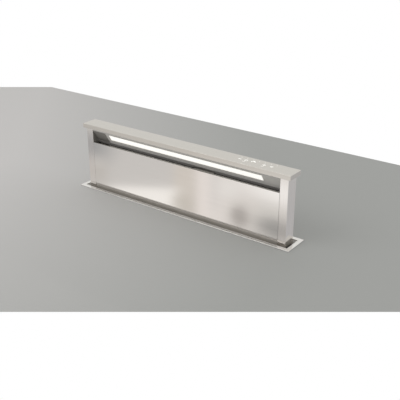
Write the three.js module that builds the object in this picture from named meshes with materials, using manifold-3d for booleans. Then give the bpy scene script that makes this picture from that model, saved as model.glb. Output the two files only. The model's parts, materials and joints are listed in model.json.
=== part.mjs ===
// A pop-up downdraft vent for a kitchen worktop, shown raised. Millimetres, +Z up.
// The origin is the middle of the worktop cut-out, on the worktop's surface. The front is -Y.
import * as THREE from 'three';
import { mergeVertices } from 'three/addons/utils/BufferGeometryUtils.js';
import Module from 'manifold-3d';

const wasm = await Module();
wasm.setup();

// ---------------------------------------------------------------------------
// Driving dimensions
// ---------------------------------------------------------------------------

// Tower: two pillars with sheets between them
const TOWER_WIDTH = 862;
const TOWER_DEPTH = 48;
const PILLAR_WIDTH = 29;
const PILLAR_SHEET = 1.5;
const PILLAR_LIP = 10;
const TOWER_ABOVE = 232; // from the worktop to the underside of the cap
const TOWER_BELOW = 215; // what stays under the worktop when raised
const PANEL_SHEET = 1.2;
const PANEL_BOTTOM = 16.3;
const PANEL_TOP = 179;
const PANEL_FOLD = 10;
const PANEL_HAIRLINE = 0.8;
const PANEL_PIN_RADIUS = 1.5;
const PANEL_PIN_REACH = 2.6;
const PANEL_PIN_SETBACK = 4;
const APRON_RECESS = 1.5;
const APRON_DROP = 2.2; // shadow gap between the front panel and the apron
const BACK_FOLD = 8;

// Cap with the touch control
const CAP_OVERHANG_X = 10.6;
const CAP_OVERHANG_Y = 8;
const CAP_HEIGHT = 16;
const CAP_SHEET = 1.2;
const CAP_BASE_THICKNESS = 1.5;
const CAP_CLEARANCE_X = 1.8;
const CAP_CLEARANCE_Y = 2.8;
const TOUCH_END = 69.6; // from the cap's right end to the touch control
const TOUCH_WIDTH = 160;
const TOUCH_DEPTH = 42;
const TOUCH_WALL = 2;

// Light housing: a folded sheet with a slanted face that carries the lit bar
const HOUSING_LIP = 6;
const HOUSING_SLANT_DEPTH = 27.7;
const HOUSING_SLANT_HEIGHT = 44;
const HOUSING_SHEET = 1.2;
const HOUSING_TAIL = 9;
const LIGHT_LENGTH = 656;
const LIGHT_HEIGHT = 25.3;
const LIGHT_OFFSET = 7.6; // down the slant, from its upper fold to the lit bar
const LIGHT_CENTRE = 3;
const DIFFUSER_BACK = 2;
const DIFFUSER_RIM = 3;
const BOARD_HEIGHT = 16;
const BOARD_THICKNESS = 1.6;

// Grease filters and what holds them
const FILTER_THICKNESS = 8;
const FILTER_END_GAP = 3.7; // from a filter to the pillar beside it
const FILTER_FRAME = 9;
const FILTER_MESH = 4;
const FILTER_STROKE = 5.5; // lift that frees a filter from its channel
const CHANNEL_SHEET = 1.2;
const CHANNEL_LIP = 5;
const CHANNEL_CLEARANCE = 0.6;
const STOP_CENTRE = 90;
const STOP_WIDTH = 83;
const STOP_HEIGHT = 9.5;
const STOP_DEPTH = 8;
const STOP_SHEET = 1.5;

// Flange, gasket, wiper and casing
const FLANGE_STRIP_X = 15;
const FLANGE_STRIP_Y = 15.5;
const FLANGE_THICKNESS = 2;
const GASKET_THICKNESS = 1;
const GASKET_WIDTH = 5;
const GASKET_INSET = 1.2;
const SKIRT_DEPTH = 20;
const SHEET = 1.2;
const CASING_DEPTH_BELOW = 590;
const SIDE_FOLD = 14;
const FLOOR_FOLD = 10;
const WIPER_GAP = 0.8;
const WIPER_THICKNESS = 5;
const WIPER_DROP = 2;

// Ball slides between the pillars and the casing
const SLIDE_TOP = 32;
const SLIDE_LENGTH = 180;
const SLIDE_WIDTH = 35;
const SLIDE_SHEET = 1.5;
const CAGE_SHEET = 0.6;
const CAGE_LENGTH = 160;
const BALL_DIAMETER = 3;
const BALL_CLEARANCE = 0.25;
const BALLS_PER_ROW = 5;

// Lift drive
const SCREW_RADIUS = 6;
const SCREW_STUB_RADIUS = 4;
const SCREW_PROUD = 8; // above the lift nut
const NUT_HEIGHT = 14;
const NUT_COLLAR_RADIUS = 10;
const NUT_COLLAR_HEIGHT = 8;
const BEARING_SIZE = 36;
const BEARING_HEIGHT = 10;
const PULLEY_RADIUS = 15;
const PULLEY_RIM = 3;
const PULLEY_RIM_THICKNESS = 1.5;
const BELT_WIDTH = 9;
const BELT_THICKNESS = 1.5;
const GEAR_PITCH_RADIUS = 25;
const GEAR_TEETH = 36;
const PINION_TEETH = 12;
const GEAR_THICKNESS = 8;
const GEAR_BACKLASH = 0.5;
const TOOTH_ROOT_SHARE = 0.31; // half of a tooth's foot, as a share of the pitch
const TOOTH_TIP_SHARE = 0.15; // half of a tooth's tip, as a share of the pitch
const GEAR_BORE_GAP = 0.3;
const MOTOR_SIZE = 46;
const GEARBOX_HEIGHT = 24;
const MOTOR_RADIUS = 20;
const MOTOR_HEIGHT = 44;
const MOTOR_SHAFT_RADIUS = 3;
const MOTOR_LUG_THICKNESS = 4;

// Blower on the front of the casing
const BLOWER_WIDTH = 300;
const BLOWER_HEIGHT = 310;
const BLOWER_DEPTH = 190;
const BLOWER_SHEET = 1.2;
const WHEEL_RISE = 150; // from the casing's lower edge to the wheel's axis
const INLET_RADIUS = 72;
const INLET_FLANGE = 12;
const INLET_SHEET = 1.5;
const SCROLL_SHEET = 1.5;
const SCROLL_DEPTH = 106;
const SCROLL_SETBACK = 18;
const SCROLL_INNER = 94;
const SCROLL_OUTER = 140;
const SCROLL_CUTOFF_ANGLE = 30;
const SCROLL_STEPS = 30;
const SCROLL_POSTS = 4;
const SCROLL_POST_RADIUS = 5;
const SCROLL_POST_CIRCLE = 84;
const WHEEL_RADIUS = 84;
const WHEEL_DEPTH = 82;
const WHEEL_SHEET = 1.5;
const WHEEL_EYE = 68;
const BLADES = 26;
const BLADE_SHEET = 1;
const BLADE_CHORD = 17;
const BLADE_LEAN = 28;
const HUB_RADIUS = 14;
const HUB_LENGTH = 14;
const HUB_CLEARANCE = 0.6; // between the hub and the hole in the scroll
const SHAFT_RADIUS = 5;
const SHAFT_REACH = 26;
const FAN_MOTOR_RADIUS = 42;
const FAN_MOTOR_DEPTH = 44;
const FAN_MOTOR_FLANGE = 56;
const FAN_MOTOR_FLANGE_DEPTH = 3;
const FAN_MOTOR_SOCKET = 30;
const COLLAR_RADIUS = 75;
const COLLAR_LENGTH = 140;
const COLLAR_SHEET = 1.2;
const COLLAR_PLATE = 8;
const COLLAR_RISE = 77; // from the wheel's axis up to the collar's
const COLLAR_FORWARD = 80; // from the casing's front to the collar's axis
const FLAP_CLEARANCE = 2.4;
const FLAP_THICKNESS = 1.5;
const FLAP_PIN_RADIUS = 2;
const FLAP_PIN_RISE = 12;
const FLAP_DISTANCE = 58; // from the collar's plate, so that the open flap stays in the spigot

// Control box
const CONTROL_WIDTH = 220;
const CONTROL_HEIGHT = 120;
const CONTROL_DEPTH = 54;
const CONTROL_MARGIN = 12.1; // from the fold of the left side sheet
const CONTROL_BOTTOM = 400;
const CONTROL_SHEET = 1.2;
const BOARD_INSET = 10;
const BOARD_STANDOFF = 5;
const TRANSFORMER_SIZE = 45;
const TRANSFORMER_HEIGHT = 30;
const RELAYS = 3;
const RELAY_WIDTH = 20;
const RELAY_LENGTH = 24;
const RELAY_HEIGHT = 16;
const RELAY_PITCH = 28;
const CAPACITOR_RADIUS = 10;
const CAPACITOR_LENGTH = 40;
const PART_MARGIN = 14; // from a board's edge to the parts on it
const GLAND_RADIUS = 10;
const GLAND_BORE = 5;
const GLAND_LENGTH = 22;
const GLAND_NUT_HEIGHT = 7;
const GLAND_RIM = 3;
const GLAND_INSET = 55; // from the control box's left side

// Clamps and brackets that hold the casing
const CLAMP_WIDTH = 32;
const CLAMP_SHEET = 3;
const CLAMP_REACH = 34;
const CLAMP_LEG = 40;
const CLAMP_DROP = 58;
const CLAMP_SCREW_RADIUS = 3;
const CLAMP_PAD_RADIUS = 8;
const CLAMP_PAD_THICKNESS = 2.5;
const WORKTOP_THICKNESS = 30;
const WALL_BRACKET_WIDTH = 50;
const WALL_BRACKET_SHEET = 2;
const WALL_BRACKET_LEG = 40;
const WALL_BRACKET_REACH = 24;
const WALL_BRACKET_INSET = 66.1; // from the outside of the side sheet
const WALL_BRACKET_RISE = 40;

// Clearance between two pieces that seat on each other
const FIT = 0.3;

// Flat sides that stand for a full circle
const PIN_SIDES = 16;
const BORE_SIDES = 24;
const PULLEY_SIDES = 32;
const DRUM_SIDES = 40;
const WHEEL_SIDES = 48;
const BALL_SIDES = 8;
const BALL_RINGS = 6;
const BELT_END_STEPS = 12; // in each half circle of the belt

// ---------------------------------------------------------------------------
// Places worked out from the driving dimensions
// ---------------------------------------------------------------------------

const towerHalf = TOWER_WIDTH / 2;
const towerFront = -TOWER_DEPTH / 2;
const towerBack = TOWER_DEPTH / 2;
const pillarInner = towerHalf - PILLAR_WIDTH;
const pillarMiddle = towerHalf - PILLAR_WIDTH / 2;
const panelHalf = pillarInner - PANEL_HAIRLINE;
const capHalf = towerHalf + CAP_OVERHANG_X;
const capHalfDepth = towerBack + CAP_OVERHANG_Y;
const capTop = TOWER_ABOVE + CAP_HEIGHT;
const slotHalf = capHalf + CAP_CLEARANCE_X;
const slotHalfDepth = capHalfDepth + CAP_CLEARANCE_Y;
const flangeHalf = slotHalf + FLANGE_STRIP_X;
const flangeHalfDepth = slotHalfDepth + FLANGE_STRIP_Y;
const flangeBottom = GASKET_THICKNESS;
const flangeTop = flangeBottom + FLANGE_THICKNESS;
const casingHalf = slotHalf + SHEET + FIT;
const casingHalfDepth = slotHalfDepth + SHEET + FIT;
const casingTop = flangeBottom - FIT;
const casingBottom = -CASING_DEPTH_BELOW;
const casingFloor = casingBottom + SHEET;
const casingFront = -casingHalfDepth - SHEET;
const casingBack = casingHalfDepth + SHEET;
const sideOuter = casingHalf + SHEET;
const sideFoldFace = casingHalfDepth + 2 * SHEET + FIT;
const skirtBottom = flangeBottom - SKIRT_DEPTH;
const wiperTop = skirtBottom - WIPER_DROP;
const towerBottom = -TOWER_BELOW;
const travel = capTop - flangeTop;
const apronTop = PANEL_BOTTOM - APRON_DROP;
const apronFront = towerFront + APRON_RECESS;

// ---------------------------------------------------------------------------
// Materials, one per finish
// ---------------------------------------------------------------------------

const finishes = {
  brushedSteel: { color: 0xcfcac4, roughness: 0.32, metalness: 1 },
  flangeSteel: { color: 0xdcdcd6, roughness: 0.3, metalness: 1 },
  darkSteel: { color: 0x8d8983, roughness: 0.4, metalness: 1 },
  galvanised: { color: 0xa8acad, roughness: 0.5, metalness: 0.9 },
  zincPlate: { color: 0xb9bcbe, roughness: 0.35, metalness: 1 },
  ballSteel: { color: 0xd8dadb, roughness: 0.15, metalness: 1 },
  screwSteel: { color: 0x9b9ea1, roughness: 0.3, metalness: 1 },
  brass: { color: 0xb08d4b, roughness: 0.35, metalness: 1 },
  aluminium: { color: 0xb4b7b9, roughness: 0.45, metalness: 1 },
  blackPlastic: { color: 0x1c1d1e, roughness: 0.55, metalness: 0 },
  greyPlastic: { color: 0x6c6f71, roughness: 0.5, metalness: 0 },
  whitePlastic: { color: 0xe4e4e0, roughness: 0.45, metalness: 0 },
  lightDiffuser: { color: 0xfffcf5, roughness: 0.4, metalness: 0, emissive: 0xfffcf5 },
  boardGreen: { color: 0x1f5b3a, roughness: 0.5, metalness: 0 },
  rubber: { color: 0x17181a, roughness: 0.85, metalness: 0 },
  foam: { color: 0x2c2d2f, roughness: 0.95, metalness: 0 },
};

// ---------------------------------------------------------------------------
// Shape helpers
// ---------------------------------------------------------------------------

// A box between two corners
function block(x0, x1, y0, y1, z0, z1) {
  const geometry = new THREE.BoxGeometry(x1 - x0, y1 - y0, z1 - z0);
  return geometry.translate((x0 + x1) / 2, (y0 + y1) / 2, (z0 + z1) / 2);
}

// A closed outline through [u, v] points
function outline(points) {
  return new THREE.Shape(points.map(([u, v]) => new THREE.Vector2(u, v)));
}

// Extrudes an XY outline upwards, from z0 to z1
function alongZ(shape, z0, z1) {
  const geometry = new THREE.ExtrudeGeometry(shape, { depth: z1 - z0, bevelEnabled: false });
  return geometry.translate(0, 0, z0);
}

// Extrudes a YZ outline across the width, from x0 to x1
function alongX(shape, x0, x1) {
  const geometry = new THREE.ExtrudeGeometry(shape, { depth: x1 - x0, bevelEnabled: false });
  const turn = new THREE.Matrix4().set(0, 0, 1, x0, 1, 0, 0, 0, 0, 1, 0, 0, 0, 0, 0, 1);
  return geometry.applyMatrix4(turn);
}

// Extrudes a ZX outline (first z, then x) from the front to the back, from y0 to y1
function alongY(shape, y0, y1) {
  const geometry = new THREE.ExtrudeGeometry(shape, { depth: y1 - y0, bevelEnabled: false });
  const turn = new THREE.Matrix4().set(0, 1, 0, 0, 0, 0, 1, y0, 1, 0, 0, 0, 0, 0, 0, 1);
  return geometry.applyMatrix4(turn);
}

// The outline of a sheet folded along a line of points, with its thickness to the left of the line
function foldedSheet(path, thickness) {
  const points = path.map(([u, v]) => new THREE.Vector2(u, v));
  const directions = [];
  for (let i = 0; i + 1 < points.length; i += 1) {
    directions.push(points[i + 1].clone().sub(points[i]).normalize());
  }
  const inner = points.map((point, i) => {
    const before = directions[Math.max(i - 1, 0)];
    const after = directions[Math.min(i, directions.length - 1)];
    const normal = new THREE.Vector2(-before.y - after.y, before.x + after.x).normalize();
    const reach = thickness / normal.dot(new THREE.Vector2(-after.y, after.x));
    return point.clone().addScaledVector(normal, reach);
  });
  return new THREE.Shape([...points, ...inner.reverse()]);
}

// A rectangle with a rectangular hole, as an XY outline
function rectangularRing(halfX, halfY, holeX, holeY) {
  const shape = outline([[-halfX, -halfY], [halfX, -halfY], [halfX, halfY], [-halfX, halfY]]);
  shape.holes.push(outline([[-holeX, -holeY], [-holeX, holeY], [holeX, holeY], [holeX, -holeY]]));
  return shape;
}

// A solid of revolution about Z from a closed [radius, z] profile
function lathe(profile, segments) {
  const closed = [...profile, profile[0]];
  const points = closed.map(([r, z]) => new THREE.Vector2(r, z));
  return new THREE.LatheGeometry(points, segments).rotateX(Math.PI / 2);
}

// A round bar or disc about Z, from z0 to z1
function rod(radius, z0, z1, segments) {
  const geometry = new THREE.CylinderGeometry(radius, radius, z1 - z0, segments).rotateX(Math.PI / 2);
  return geometry.translate(0, 0, (z0 + z1) / 2);
}

// Turns a shape made about Z so that its axis runs along +Y or +X
const toY = (geometry) => geometry.rotateX(-Math.PI / 2);
const toX = (geometry) => geometry.rotateY(Math.PI / 2);

function toSolid(geometry) {
  const bare = geometry.clone();
  bare.deleteAttribute('normal');
  bare.deleteAttribute('uv');
  const merged = mergeVertices(bare, 1e-4);
  const mesh = new wasm.Mesh({
    numProp: 3,
    vertProperties: new Float32Array(merged.attributes.position.array),
    triVerts: new Uint32Array(merged.index.array),
  });
  return new wasm.Manifold(mesh);
}

function toGeometry(solid) {
  const mesh = solid.getMesh();
  const geometry = new THREE.BufferGeometry();
  geometry.setAttribute('position', new THREE.BufferAttribute(mesh.vertProperties, 3));
  geometry.setIndex(new THREE.BufferAttribute(mesh.triVerts, 1));
  geometry.computeVertexNormals();
  return geometry;
}

// Joins the added shapes to the first one, then cuts the removed ones away
function carve(base, { add = [], remove = [] }) {
  let solid = toSolid(base);
  for (const piece of add) {
    solid = solid.add(toSolid(piece));
  }
  for (const piece of remove) {
    solid = solid.subtract(toSolid(piece));
  }
  return toGeometry(solid);
}

const vent = new THREE.Group();

// Adds one named piece to the vent
function piece(name, finish, geometry) {
  const mesh = new THREE.Mesh(geometry, new THREE.MeshStandardMaterial(finishes[finish]));
  mesh.name = name;
  vent.add(mesh);
  return mesh;
}

// Adds a left and a right piece, the shape given for the right side
function pair(name, finish, makeRight) {
  for (const [side, sign] of [['left', -1], ['right', 1]]) {
    const geometry = makeRight();
    if (sign < 0) {
      geometry.scale(-1, 1, 1);
      reverseFaces(geometry);
    }
    piece(`${name}_${side}`, finish, geometry);
  }
}

// Turns every face round, after a mirroring has turned the solid inside out
function reverseFaces(geometry) {
  if (!geometry.index) {
    geometry.setIndex([...Array(geometry.attributes.position.count).keys()]);
  }
  const index = geometry.index;
  for (let i = 0; i < index.count; i += 3) {
    const second = index.getX(i + 1);
    index.setX(i + 1, index.getX(i + 2));
    index.setX(i + 2, second);
  }
}

// ---------------------------------------------------------------------------
// Flange, gasket and wiper seal
// ---------------------------------------------------------------------------

function makeFlange() {
  const ring = rectangularRing(flangeHalf, flangeHalfDepth, slotHalf, slotHalfDepth);
  const skirt = rectangularRing(slotHalf + SHEET, slotHalfDepth + SHEET, slotHalf, slotHalfDepth);
  const plate = alongZ(ring, flangeBottom, flangeTop);
  return carve(plate, { add: [alongZ(skirt, skirtBottom, flangeBottom + FLANGE_THICKNESS / 2)] });
}

function makeGasket() {
  const halfX = flangeHalf - GASKET_INSET;
  const halfY = flangeHalfDepth - GASKET_INSET;
  const ring = rectangularRing(halfX, halfY, halfX - GASKET_WIDTH, halfY - GASKET_WIDTH);
  return alongZ(ring, 0, flangeBottom);
}

function makeWiper() {
  const ring = rectangularRing(
    casingHalf - FIT,
    casingHalfDepth - FIT,
    towerHalf + WIPER_GAP,
    towerBack + WIPER_GAP,
  );
  return alongZ(ring, wiperTop - WIPER_THICKNESS, wiperTop);
}

piece('counter_flange', 'flangeSteel', makeFlange());
piece('flange_gasket', 'foam', makeGasket());
piece('wiper_seal', 'rubber', makeWiper());

// ---------------------------------------------------------------------------
// Casing under the worktop
// ---------------------------------------------------------------------------

const casingSheetHalf = casingHalf - FIT;
const wheelHeight = casingBottom + WHEEL_RISE;
const inletHole = INLET_RADIUS + INLET_SHEET + FIT;

// The square opening that the bell mouth passes through, from y0 to y1
function inletCutOut(y0, y1) {
  const low = wheelHeight - inletHole;
  const high = wheelHeight + inletHole;
  return block(-inletHole, inletHole, y0, y1, low, high);
}

function makeCasingFront() {
  const half = casingSheetHalf;
  const sheet = block(-half, half, casingFront, -casingHalfDepth, casingBottom, casingTop);
  return carve(sheet, { remove: [inletCutOut(casingFront - FIT, FIT - casingHalfDepth)] });
}

// A side sheet that laps over the edges of the front and back sheets
function makeCasingSide() {
  const path = [
    [sideOuter - SIDE_FOLD, sideFoldFace],
    [sideOuter, sideFoldFace],
    [sideOuter, -sideFoldFace],
    [sideOuter - SIDE_FOLD, -sideFoldFace],
  ];
  return alongZ(foldedSheet(path.reverse(), SHEET), casingBottom, casingTop);
}

function makeCasingBottom() {
  const half = casingHalfDepth - FIT;
  const path = [
    [-half, casingBottom + FLOOR_FOLD],
    [-half, casingBottom],
    [half, casingBottom],
    [half, casingBottom + FLOOR_FOLD],
  ];
  return alongX(foldedSheet(path, SHEET), -casingSheetHalf, casingSheetHalf);
}

piece('casing_front', 'galvanised', makeCasingFront());
piece('casing_back', 'galvanised', block(
  -casingSheetHalf,
  casingSheetHalf,
  casingHalfDepth,
  casingBack,
  casingBottom,
  casingTop,
));
pair('casing', 'galvanised', makeCasingSide);
piece('casing_bottom', 'galvanised', makeCasingBottom());

// ---------------------------------------------------------------------------
// Worktop clamps and wall brackets
// ---------------------------------------------------------------------------

const clampFace = sideOuter + FIT;
const clampShelf = -CLAMP_DROP;
const clampScrewX = clampFace + CLAMP_REACH - CLAMP_PAD_RADIUS - FIT;

function makeClampBracket() {
  const path = [
    [clampFace, clampShelf - CLAMP_LEG],
    [clampFace, clampShelf],
    [clampFace + CLAMP_REACH, clampShelf],
  ];
  const profile = foldedSheet(path.map(([x, z]) => [z, x]), CLAMP_SHEET);
  const low = clampShelf - CLAMP_LEG;
  const hole = rod(CLAMP_SCREW_RADIUS + FIT, low, clampShelf + CLAMP_LEG, PIN_SIDES);
  return carve(alongY(profile, -CLAMP_WIDTH / 2, CLAMP_WIDTH / 2), {
    remove: [hole.translate(clampScrewX, 0, 0)],
  });
}

// A screw with a round pad that presses up against the worktop
function makeClampScrew() {
  const padTop = -WORKTOP_THICKNESS;
  const padBottom = padTop - CLAMP_PAD_THICKNESS;
  const headTop = clampShelf - CLAMP_SHEET - FIT;
  const headBottom = headTop - CLAMP_PAD_THICKNESS;
  const profile = [
    [0, headBottom],
    [CLAMP_PAD_RADIUS, headBottom],
    [CLAMP_PAD_RADIUS, headTop],
    [CLAMP_SCREW_RADIUS, headTop],
    [CLAMP_SCREW_RADIUS, padBottom],
    [CLAMP_PAD_RADIUS, padBottom],
    [CLAMP_PAD_RADIUS, padTop],
    [0, padTop],
  ];
  return lathe(profile, PIN_SIDES).translate(clampScrewX, 0, 0);
}

function makeWallBracket() {
  const face = casingBack + FIT;
  const low = casingBottom + WALL_BRACKET_RISE;
  const fold = low + WALL_BRACKET_LEG;
  const path = [
    [face, low],
    [face, fold],
    [face + WALL_BRACKET_REACH, fold],
    [face + WALL_BRACKET_REACH, fold + WALL_BRACKET_LEG],
  ];
  const profile = foldedSheet(path.reverse(), WALL_BRACKET_SHEET);
  const end = sideOuter - WALL_BRACKET_INSET;
  return alongX(profile, end - WALL_BRACKET_WIDTH, end);
}

pair('clamp_bracket', 'zincPlate', makeClampBracket);
pair('clamp_screw', 'zincPlate', makeClampScrew);
pair('wall_bracket', 'zincPlate', makeWallBracket);

// ---------------------------------------------------------------------------
// Tower sheets
// ---------------------------------------------------------------------------

const pinHeight = PANEL_BOTTOM + PANEL_PIN_SETBACK;
const pinDepth = towerFront + PANEL_PIN_SETBACK;
const towerTop = TOWER_ABOVE - FIT;

// A lipped channel, open towards the middle, with a hole for the panel's pin
function makePillar() {
  const path = [
    [pillarInner, towerFront + PILLAR_LIP],
    [pillarInner, towerFront],
    [towerHalf, towerFront],
    [towerHalf, towerBack],
    [pillarInner, towerBack],
    [pillarInner, towerBack - PILLAR_LIP],
  ];
  const channel = alongZ(foldedSheet(path, PILLAR_SHEET), towerBottom, towerTop);
  const hole = toX(rod(PANEL_PIN_RADIUS + FIT, -PILLAR_LIP, PILLAR_LIP, PIN_SIDES));
  return carve(channel, { remove: [hole.translate(pillarInner, pinDepth, pinHeight)] });
}

function makeFrontPanel() {
  const back = towerFront + PANEL_FOLD;
  const shell = block(-panelHalf, panelHalf, towerFront, back, PANEL_BOTTOM, PANEL_TOP);
  const hollow = block(
    PANEL_SHEET - panelHalf,
    panelHalf - PANEL_SHEET,
    towerFront + PANEL_SHEET,
    back + PANEL_FOLD,
    PANEL_BOTTOM + PANEL_SHEET,
    PANEL_TOP - PANEL_SHEET,
  );
  const pins = [-1, 1].map((side) => {
    const pin = toX(rod(PANEL_PIN_RADIUS, -PANEL_SHEET / 2, PANEL_PIN_REACH, PIN_SIDES));
    return pin.rotateZ(side < 0 ? Math.PI : 0).translate(side * panelHalf, pinDepth, pinHeight);
  });
  return carve(carve(shell, { remove: [hollow] }), { add: pins });
}

// The sheet under the front panel, with the shelf that closes the filter chamber
function makeApron() {
  const shelfBack = FILTER_THICKNESS / 2 + CHANNEL_CLEARANCE + CHANNEL_SHEET;
  const path = [
    [apronFront, towerBottom],
    [apronFront, apronTop],
    [shelfBack, apronTop],
  ];
  const width = pillarInner - FIT;
  return alongX(foldedSheet([...path].reverse(), PANEL_SHEET), -width, width);
}

function makeBackPanel() {
  const width = pillarInner - FIT;
  const path = [
    [width, towerBack - BACK_FOLD],
    [width, towerBack],
    [-width, towerBack],
    [-width, towerBack - BACK_FOLD],
  ];
  return alongZ(foldedSheet(path, PANEL_SHEET), towerBottom, towerTop);
}

pair('pillar', 'brushedSteel', makePillar);
piece('front_panel', 'brushedSteel', makeFrontPanel());
piece('front_apron', 'darkSteel', makeApron());
piece('back_panel', 'brushedSteel', makeBackPanel());

// ---------------------------------------------------------------------------
// Cap and touch control
// ---------------------------------------------------------------------------

function makeCap() {
  const tray = block(-capHalf, capHalf, -capHalfDepth, capHalfDepth, TOWER_ABOVE, capTop);
  const hollow = block(
    CAP_SHEET - capHalf,
    capHalf - CAP_SHEET,
    CAP_SHEET - capHalfDepth,
    capHalfDepth - CAP_SHEET,
    TOWER_ABOVE - CAP_HEIGHT,
    capTop - CAP_SHEET,
  );
  return carve(tray, { remove: [hollow] });
}

function makeCapBase() {
  const halfX = capHalf - CAP_SHEET - FIT;
  const halfY = capHalfDepth - CAP_SHEET - FIT;
  return block(-halfX, halfX, -halfY, halfY, TOWER_ABOVE, TOWER_ABOVE + CAP_BASE_THICKNESS);
}

// An open tray whose closed top lies against the underside of the cap
function makeTouchModule() {
  const bottom = TOWER_ABOVE + CAP_BASE_THICKNESS + FIT;
  const top = capTop - CAP_SHEET - FIT;
  const x1 = capHalf - TOUCH_END;
  const x0 = x1 - TOUCH_WIDTH;
  const half = TOUCH_DEPTH / 2;
  const tray = block(x0, x1, -half, half, bottom, top);
  const hollow = block(
    x0 + TOUCH_WALL,
    x1 - TOUCH_WALL,
    TOUCH_WALL - half,
    half - TOUCH_WALL,
    bottom - TOUCH_WALL,
    top - TOUCH_WALL,
  );
  return carve(tray, { remove: [hollow] });
}

piece('top_cap', 'brushedSteel', makeCap());
piece('cap_base', 'darkSteel', makeCapBase());
piece('touch_module', 'blackPlastic', makeTouchModule());

// ---------------------------------------------------------------------------
// Light housing
// ---------------------------------------------------------------------------

const slantAngle = Math.atan2(HOUSING_SLANT_DEPTH, HOUSING_SLANT_HEIGHT);
const slantTopY = towerFront + FIT;
const slantTopZ = towerTop - HOUSING_LIP;
const slantLowY = slantTopY + HOUSING_SLANT_DEPTH;
const slantLowZ = slantTopZ - HOUSING_SLANT_HEIGHT;
const housingHalf = pillarInner - FIT;

// A point of the YZ plane, given by its way down the slant and its depth behind the face
function onSlant(down, behind) {
  return [
    slantTopY + down * Math.sin(slantAngle) + behind * Math.cos(slantAngle),
    slantTopZ - down * Math.cos(slantAngle) + behind * Math.sin(slantAngle),
  ];
}

// A bar that follows the slant, from an outline of [down, behind] points
function slantedBar(points, halfLength) {
  const shape = outline(points.map(([down, behind]) => onSlant(down, behind)));
  return alongX(shape, LIGHT_CENTRE - halfLength, LIGHT_CENTRE + halfLength);
}

function rectanglePoints(u0, u1, v0, v1) {
  return [[u0, v0], [u1, v0], [u1, v1], [u0, v1]];
}

function makeLightHousing() {
  const path = [
    [slantTopY, towerTop],
    [slantTopY, slantTopZ],
    [slantLowY, slantLowZ],
    [slantLowY, slantLowZ - HOUSING_TAIL],
  ];
  const sheet = alongX(foldedSheet(path, HOUSING_SHEET), -housingHalf, housingHalf);
  const low = LIGHT_OFFSET + LIGHT_HEIGHT;
  const windowPoints = rectanglePoints(LIGHT_OFFSET, low, -DIFFUSER_BACK, BOARD_HEIGHT);
  const window = slantedBar(windowPoints, LIGHT_LENGTH / 2);
  const shelfBack = towerBack - PANEL_SHEET - FIT;
  const shelf = block(
    -housingHalf,
    housingHalf,
    slantLowY,
    shelfBack - BACK_FOLD,
    slantLowZ,
    slantLowZ + HOUSING_SHEET,
  );
  return carve(sheet, { add: [shelf], remove: [window] });
}

// The lit bar fills the window, with a rim behind the sheet
function makeDiffuser() {
  const top = LIGHT_OFFSET + FIT;
  const low = LIGHT_OFFSET + LIGHT_HEIGHT - FIT;
  const sheetBack = HOUSING_SHEET + FIT;
  const back = sheetBack + DIFFUSER_BACK;
  const face = rectanglePoints(top, low, 0, (sheetBack + back) / 2);
  const rim = rectanglePoints(top - DIFFUSER_RIM, low + DIFFUSER_RIM, sheetBack, back);
  const halfLength = LIGHT_LENGTH / 2 - FIT;
  return carve(slantedBar(face, halfLength), { add: [slantedBar(rim, halfLength + DIFFUSER_RIM)] });
}

function makeLightBoard() {
  const middle = LIGHT_OFFSET + LIGHT_HEIGHT / 2;
  const front = HOUSING_SHEET + DIFFUSER_BACK + 2 * FIT;
  const points = rectanglePoints(
    middle - BOARD_HEIGHT / 2,
    middle + BOARD_HEIGHT / 2,
    front,
    front + BOARD_THICKNESS,
  );
  return slantedBar(points, LIGHT_LENGTH / 2 - DIFFUSER_RIM);
}

piece('light_housing', 'darkSteel', makeLightHousing());
piece('light_diffuser', 'lightDiffuser', makeDiffuser());
piece('light_board', 'whitePlastic', makeLightBoard());

// ---------------------------------------------------------------------------
// Grease filters, their channel and their stop
// ---------------------------------------------------------------------------

const channelBottom = apronTop + FIT;
const filterBottom = channelBottom + CHANNEL_SHEET + FIT;
const stopTop = slantLowZ - HOUSING_SHEET;
const filterTop = stopTop - STOP_HEIGHT - FILTER_STROKE - FIT;

function makeFilterChannel() {
  const half = FILTER_THICKNESS / 2 + CHANNEL_CLEARANCE + CHANNEL_SHEET;
  const lipTop = channelBottom + CHANNEL_SHEET + CHANNEL_LIP;
  const path = [[-half, lipTop], [-half, channelBottom], [half, channelBottom], [half, lipTop]];
  return alongX(foldedSheet(path, CHANNEL_SHEET), -housingHalf, housingHalf);
}

// A frame with a thinner mesh pad inside it
function makeFilter() {
  const x0 = FIT;
  const x1 = pillarInner - FILTER_END_GAP;
  const half = FILTER_THICKNESS / 2;
  const frame = block(x0, x1, -half, half, filterBottom, filterTop);
  const recess = [-1, 1].map((side) => {
    const inner = FILTER_MESH / 2;
    const y0 = side < 0 ? -half - FIT : inner;
    const y1 = side < 0 ? -inner : half + FIT;
    const low = filterBottom + FILTER_FRAME;
    return block(x0 + FILTER_FRAME, x1 - FILTER_FRAME, y0, y1, low, filterTop - FILTER_FRAME);
  });
  return carve(frame, { remove: recess });
}

// A folded clip on the lower edge of the light housing, above the filters
function makeFilterStop() {
  const back = slantLowY - FIT;
  const path = [
    [back, stopTop],
    [back, stopTop - STOP_HEIGHT],
    [back - STOP_DEPTH, stopTop - STOP_HEIGHT],
  ];
  const profile = foldedSheet([...path].reverse(), STOP_SHEET);
  return alongX(profile, STOP_CENTRE - STOP_WIDTH / 2, STOP_CENTRE + STOP_WIDTH / 2);
}

piece('filter_channel', 'galvanised', makeFilterChannel());
pair('filter', 'aluminium', makeFilter);
piece('filter_stop', 'darkSteel', makeFilterStop());

// ---------------------------------------------------------------------------
// Ball slides
// ---------------------------------------------------------------------------

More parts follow.
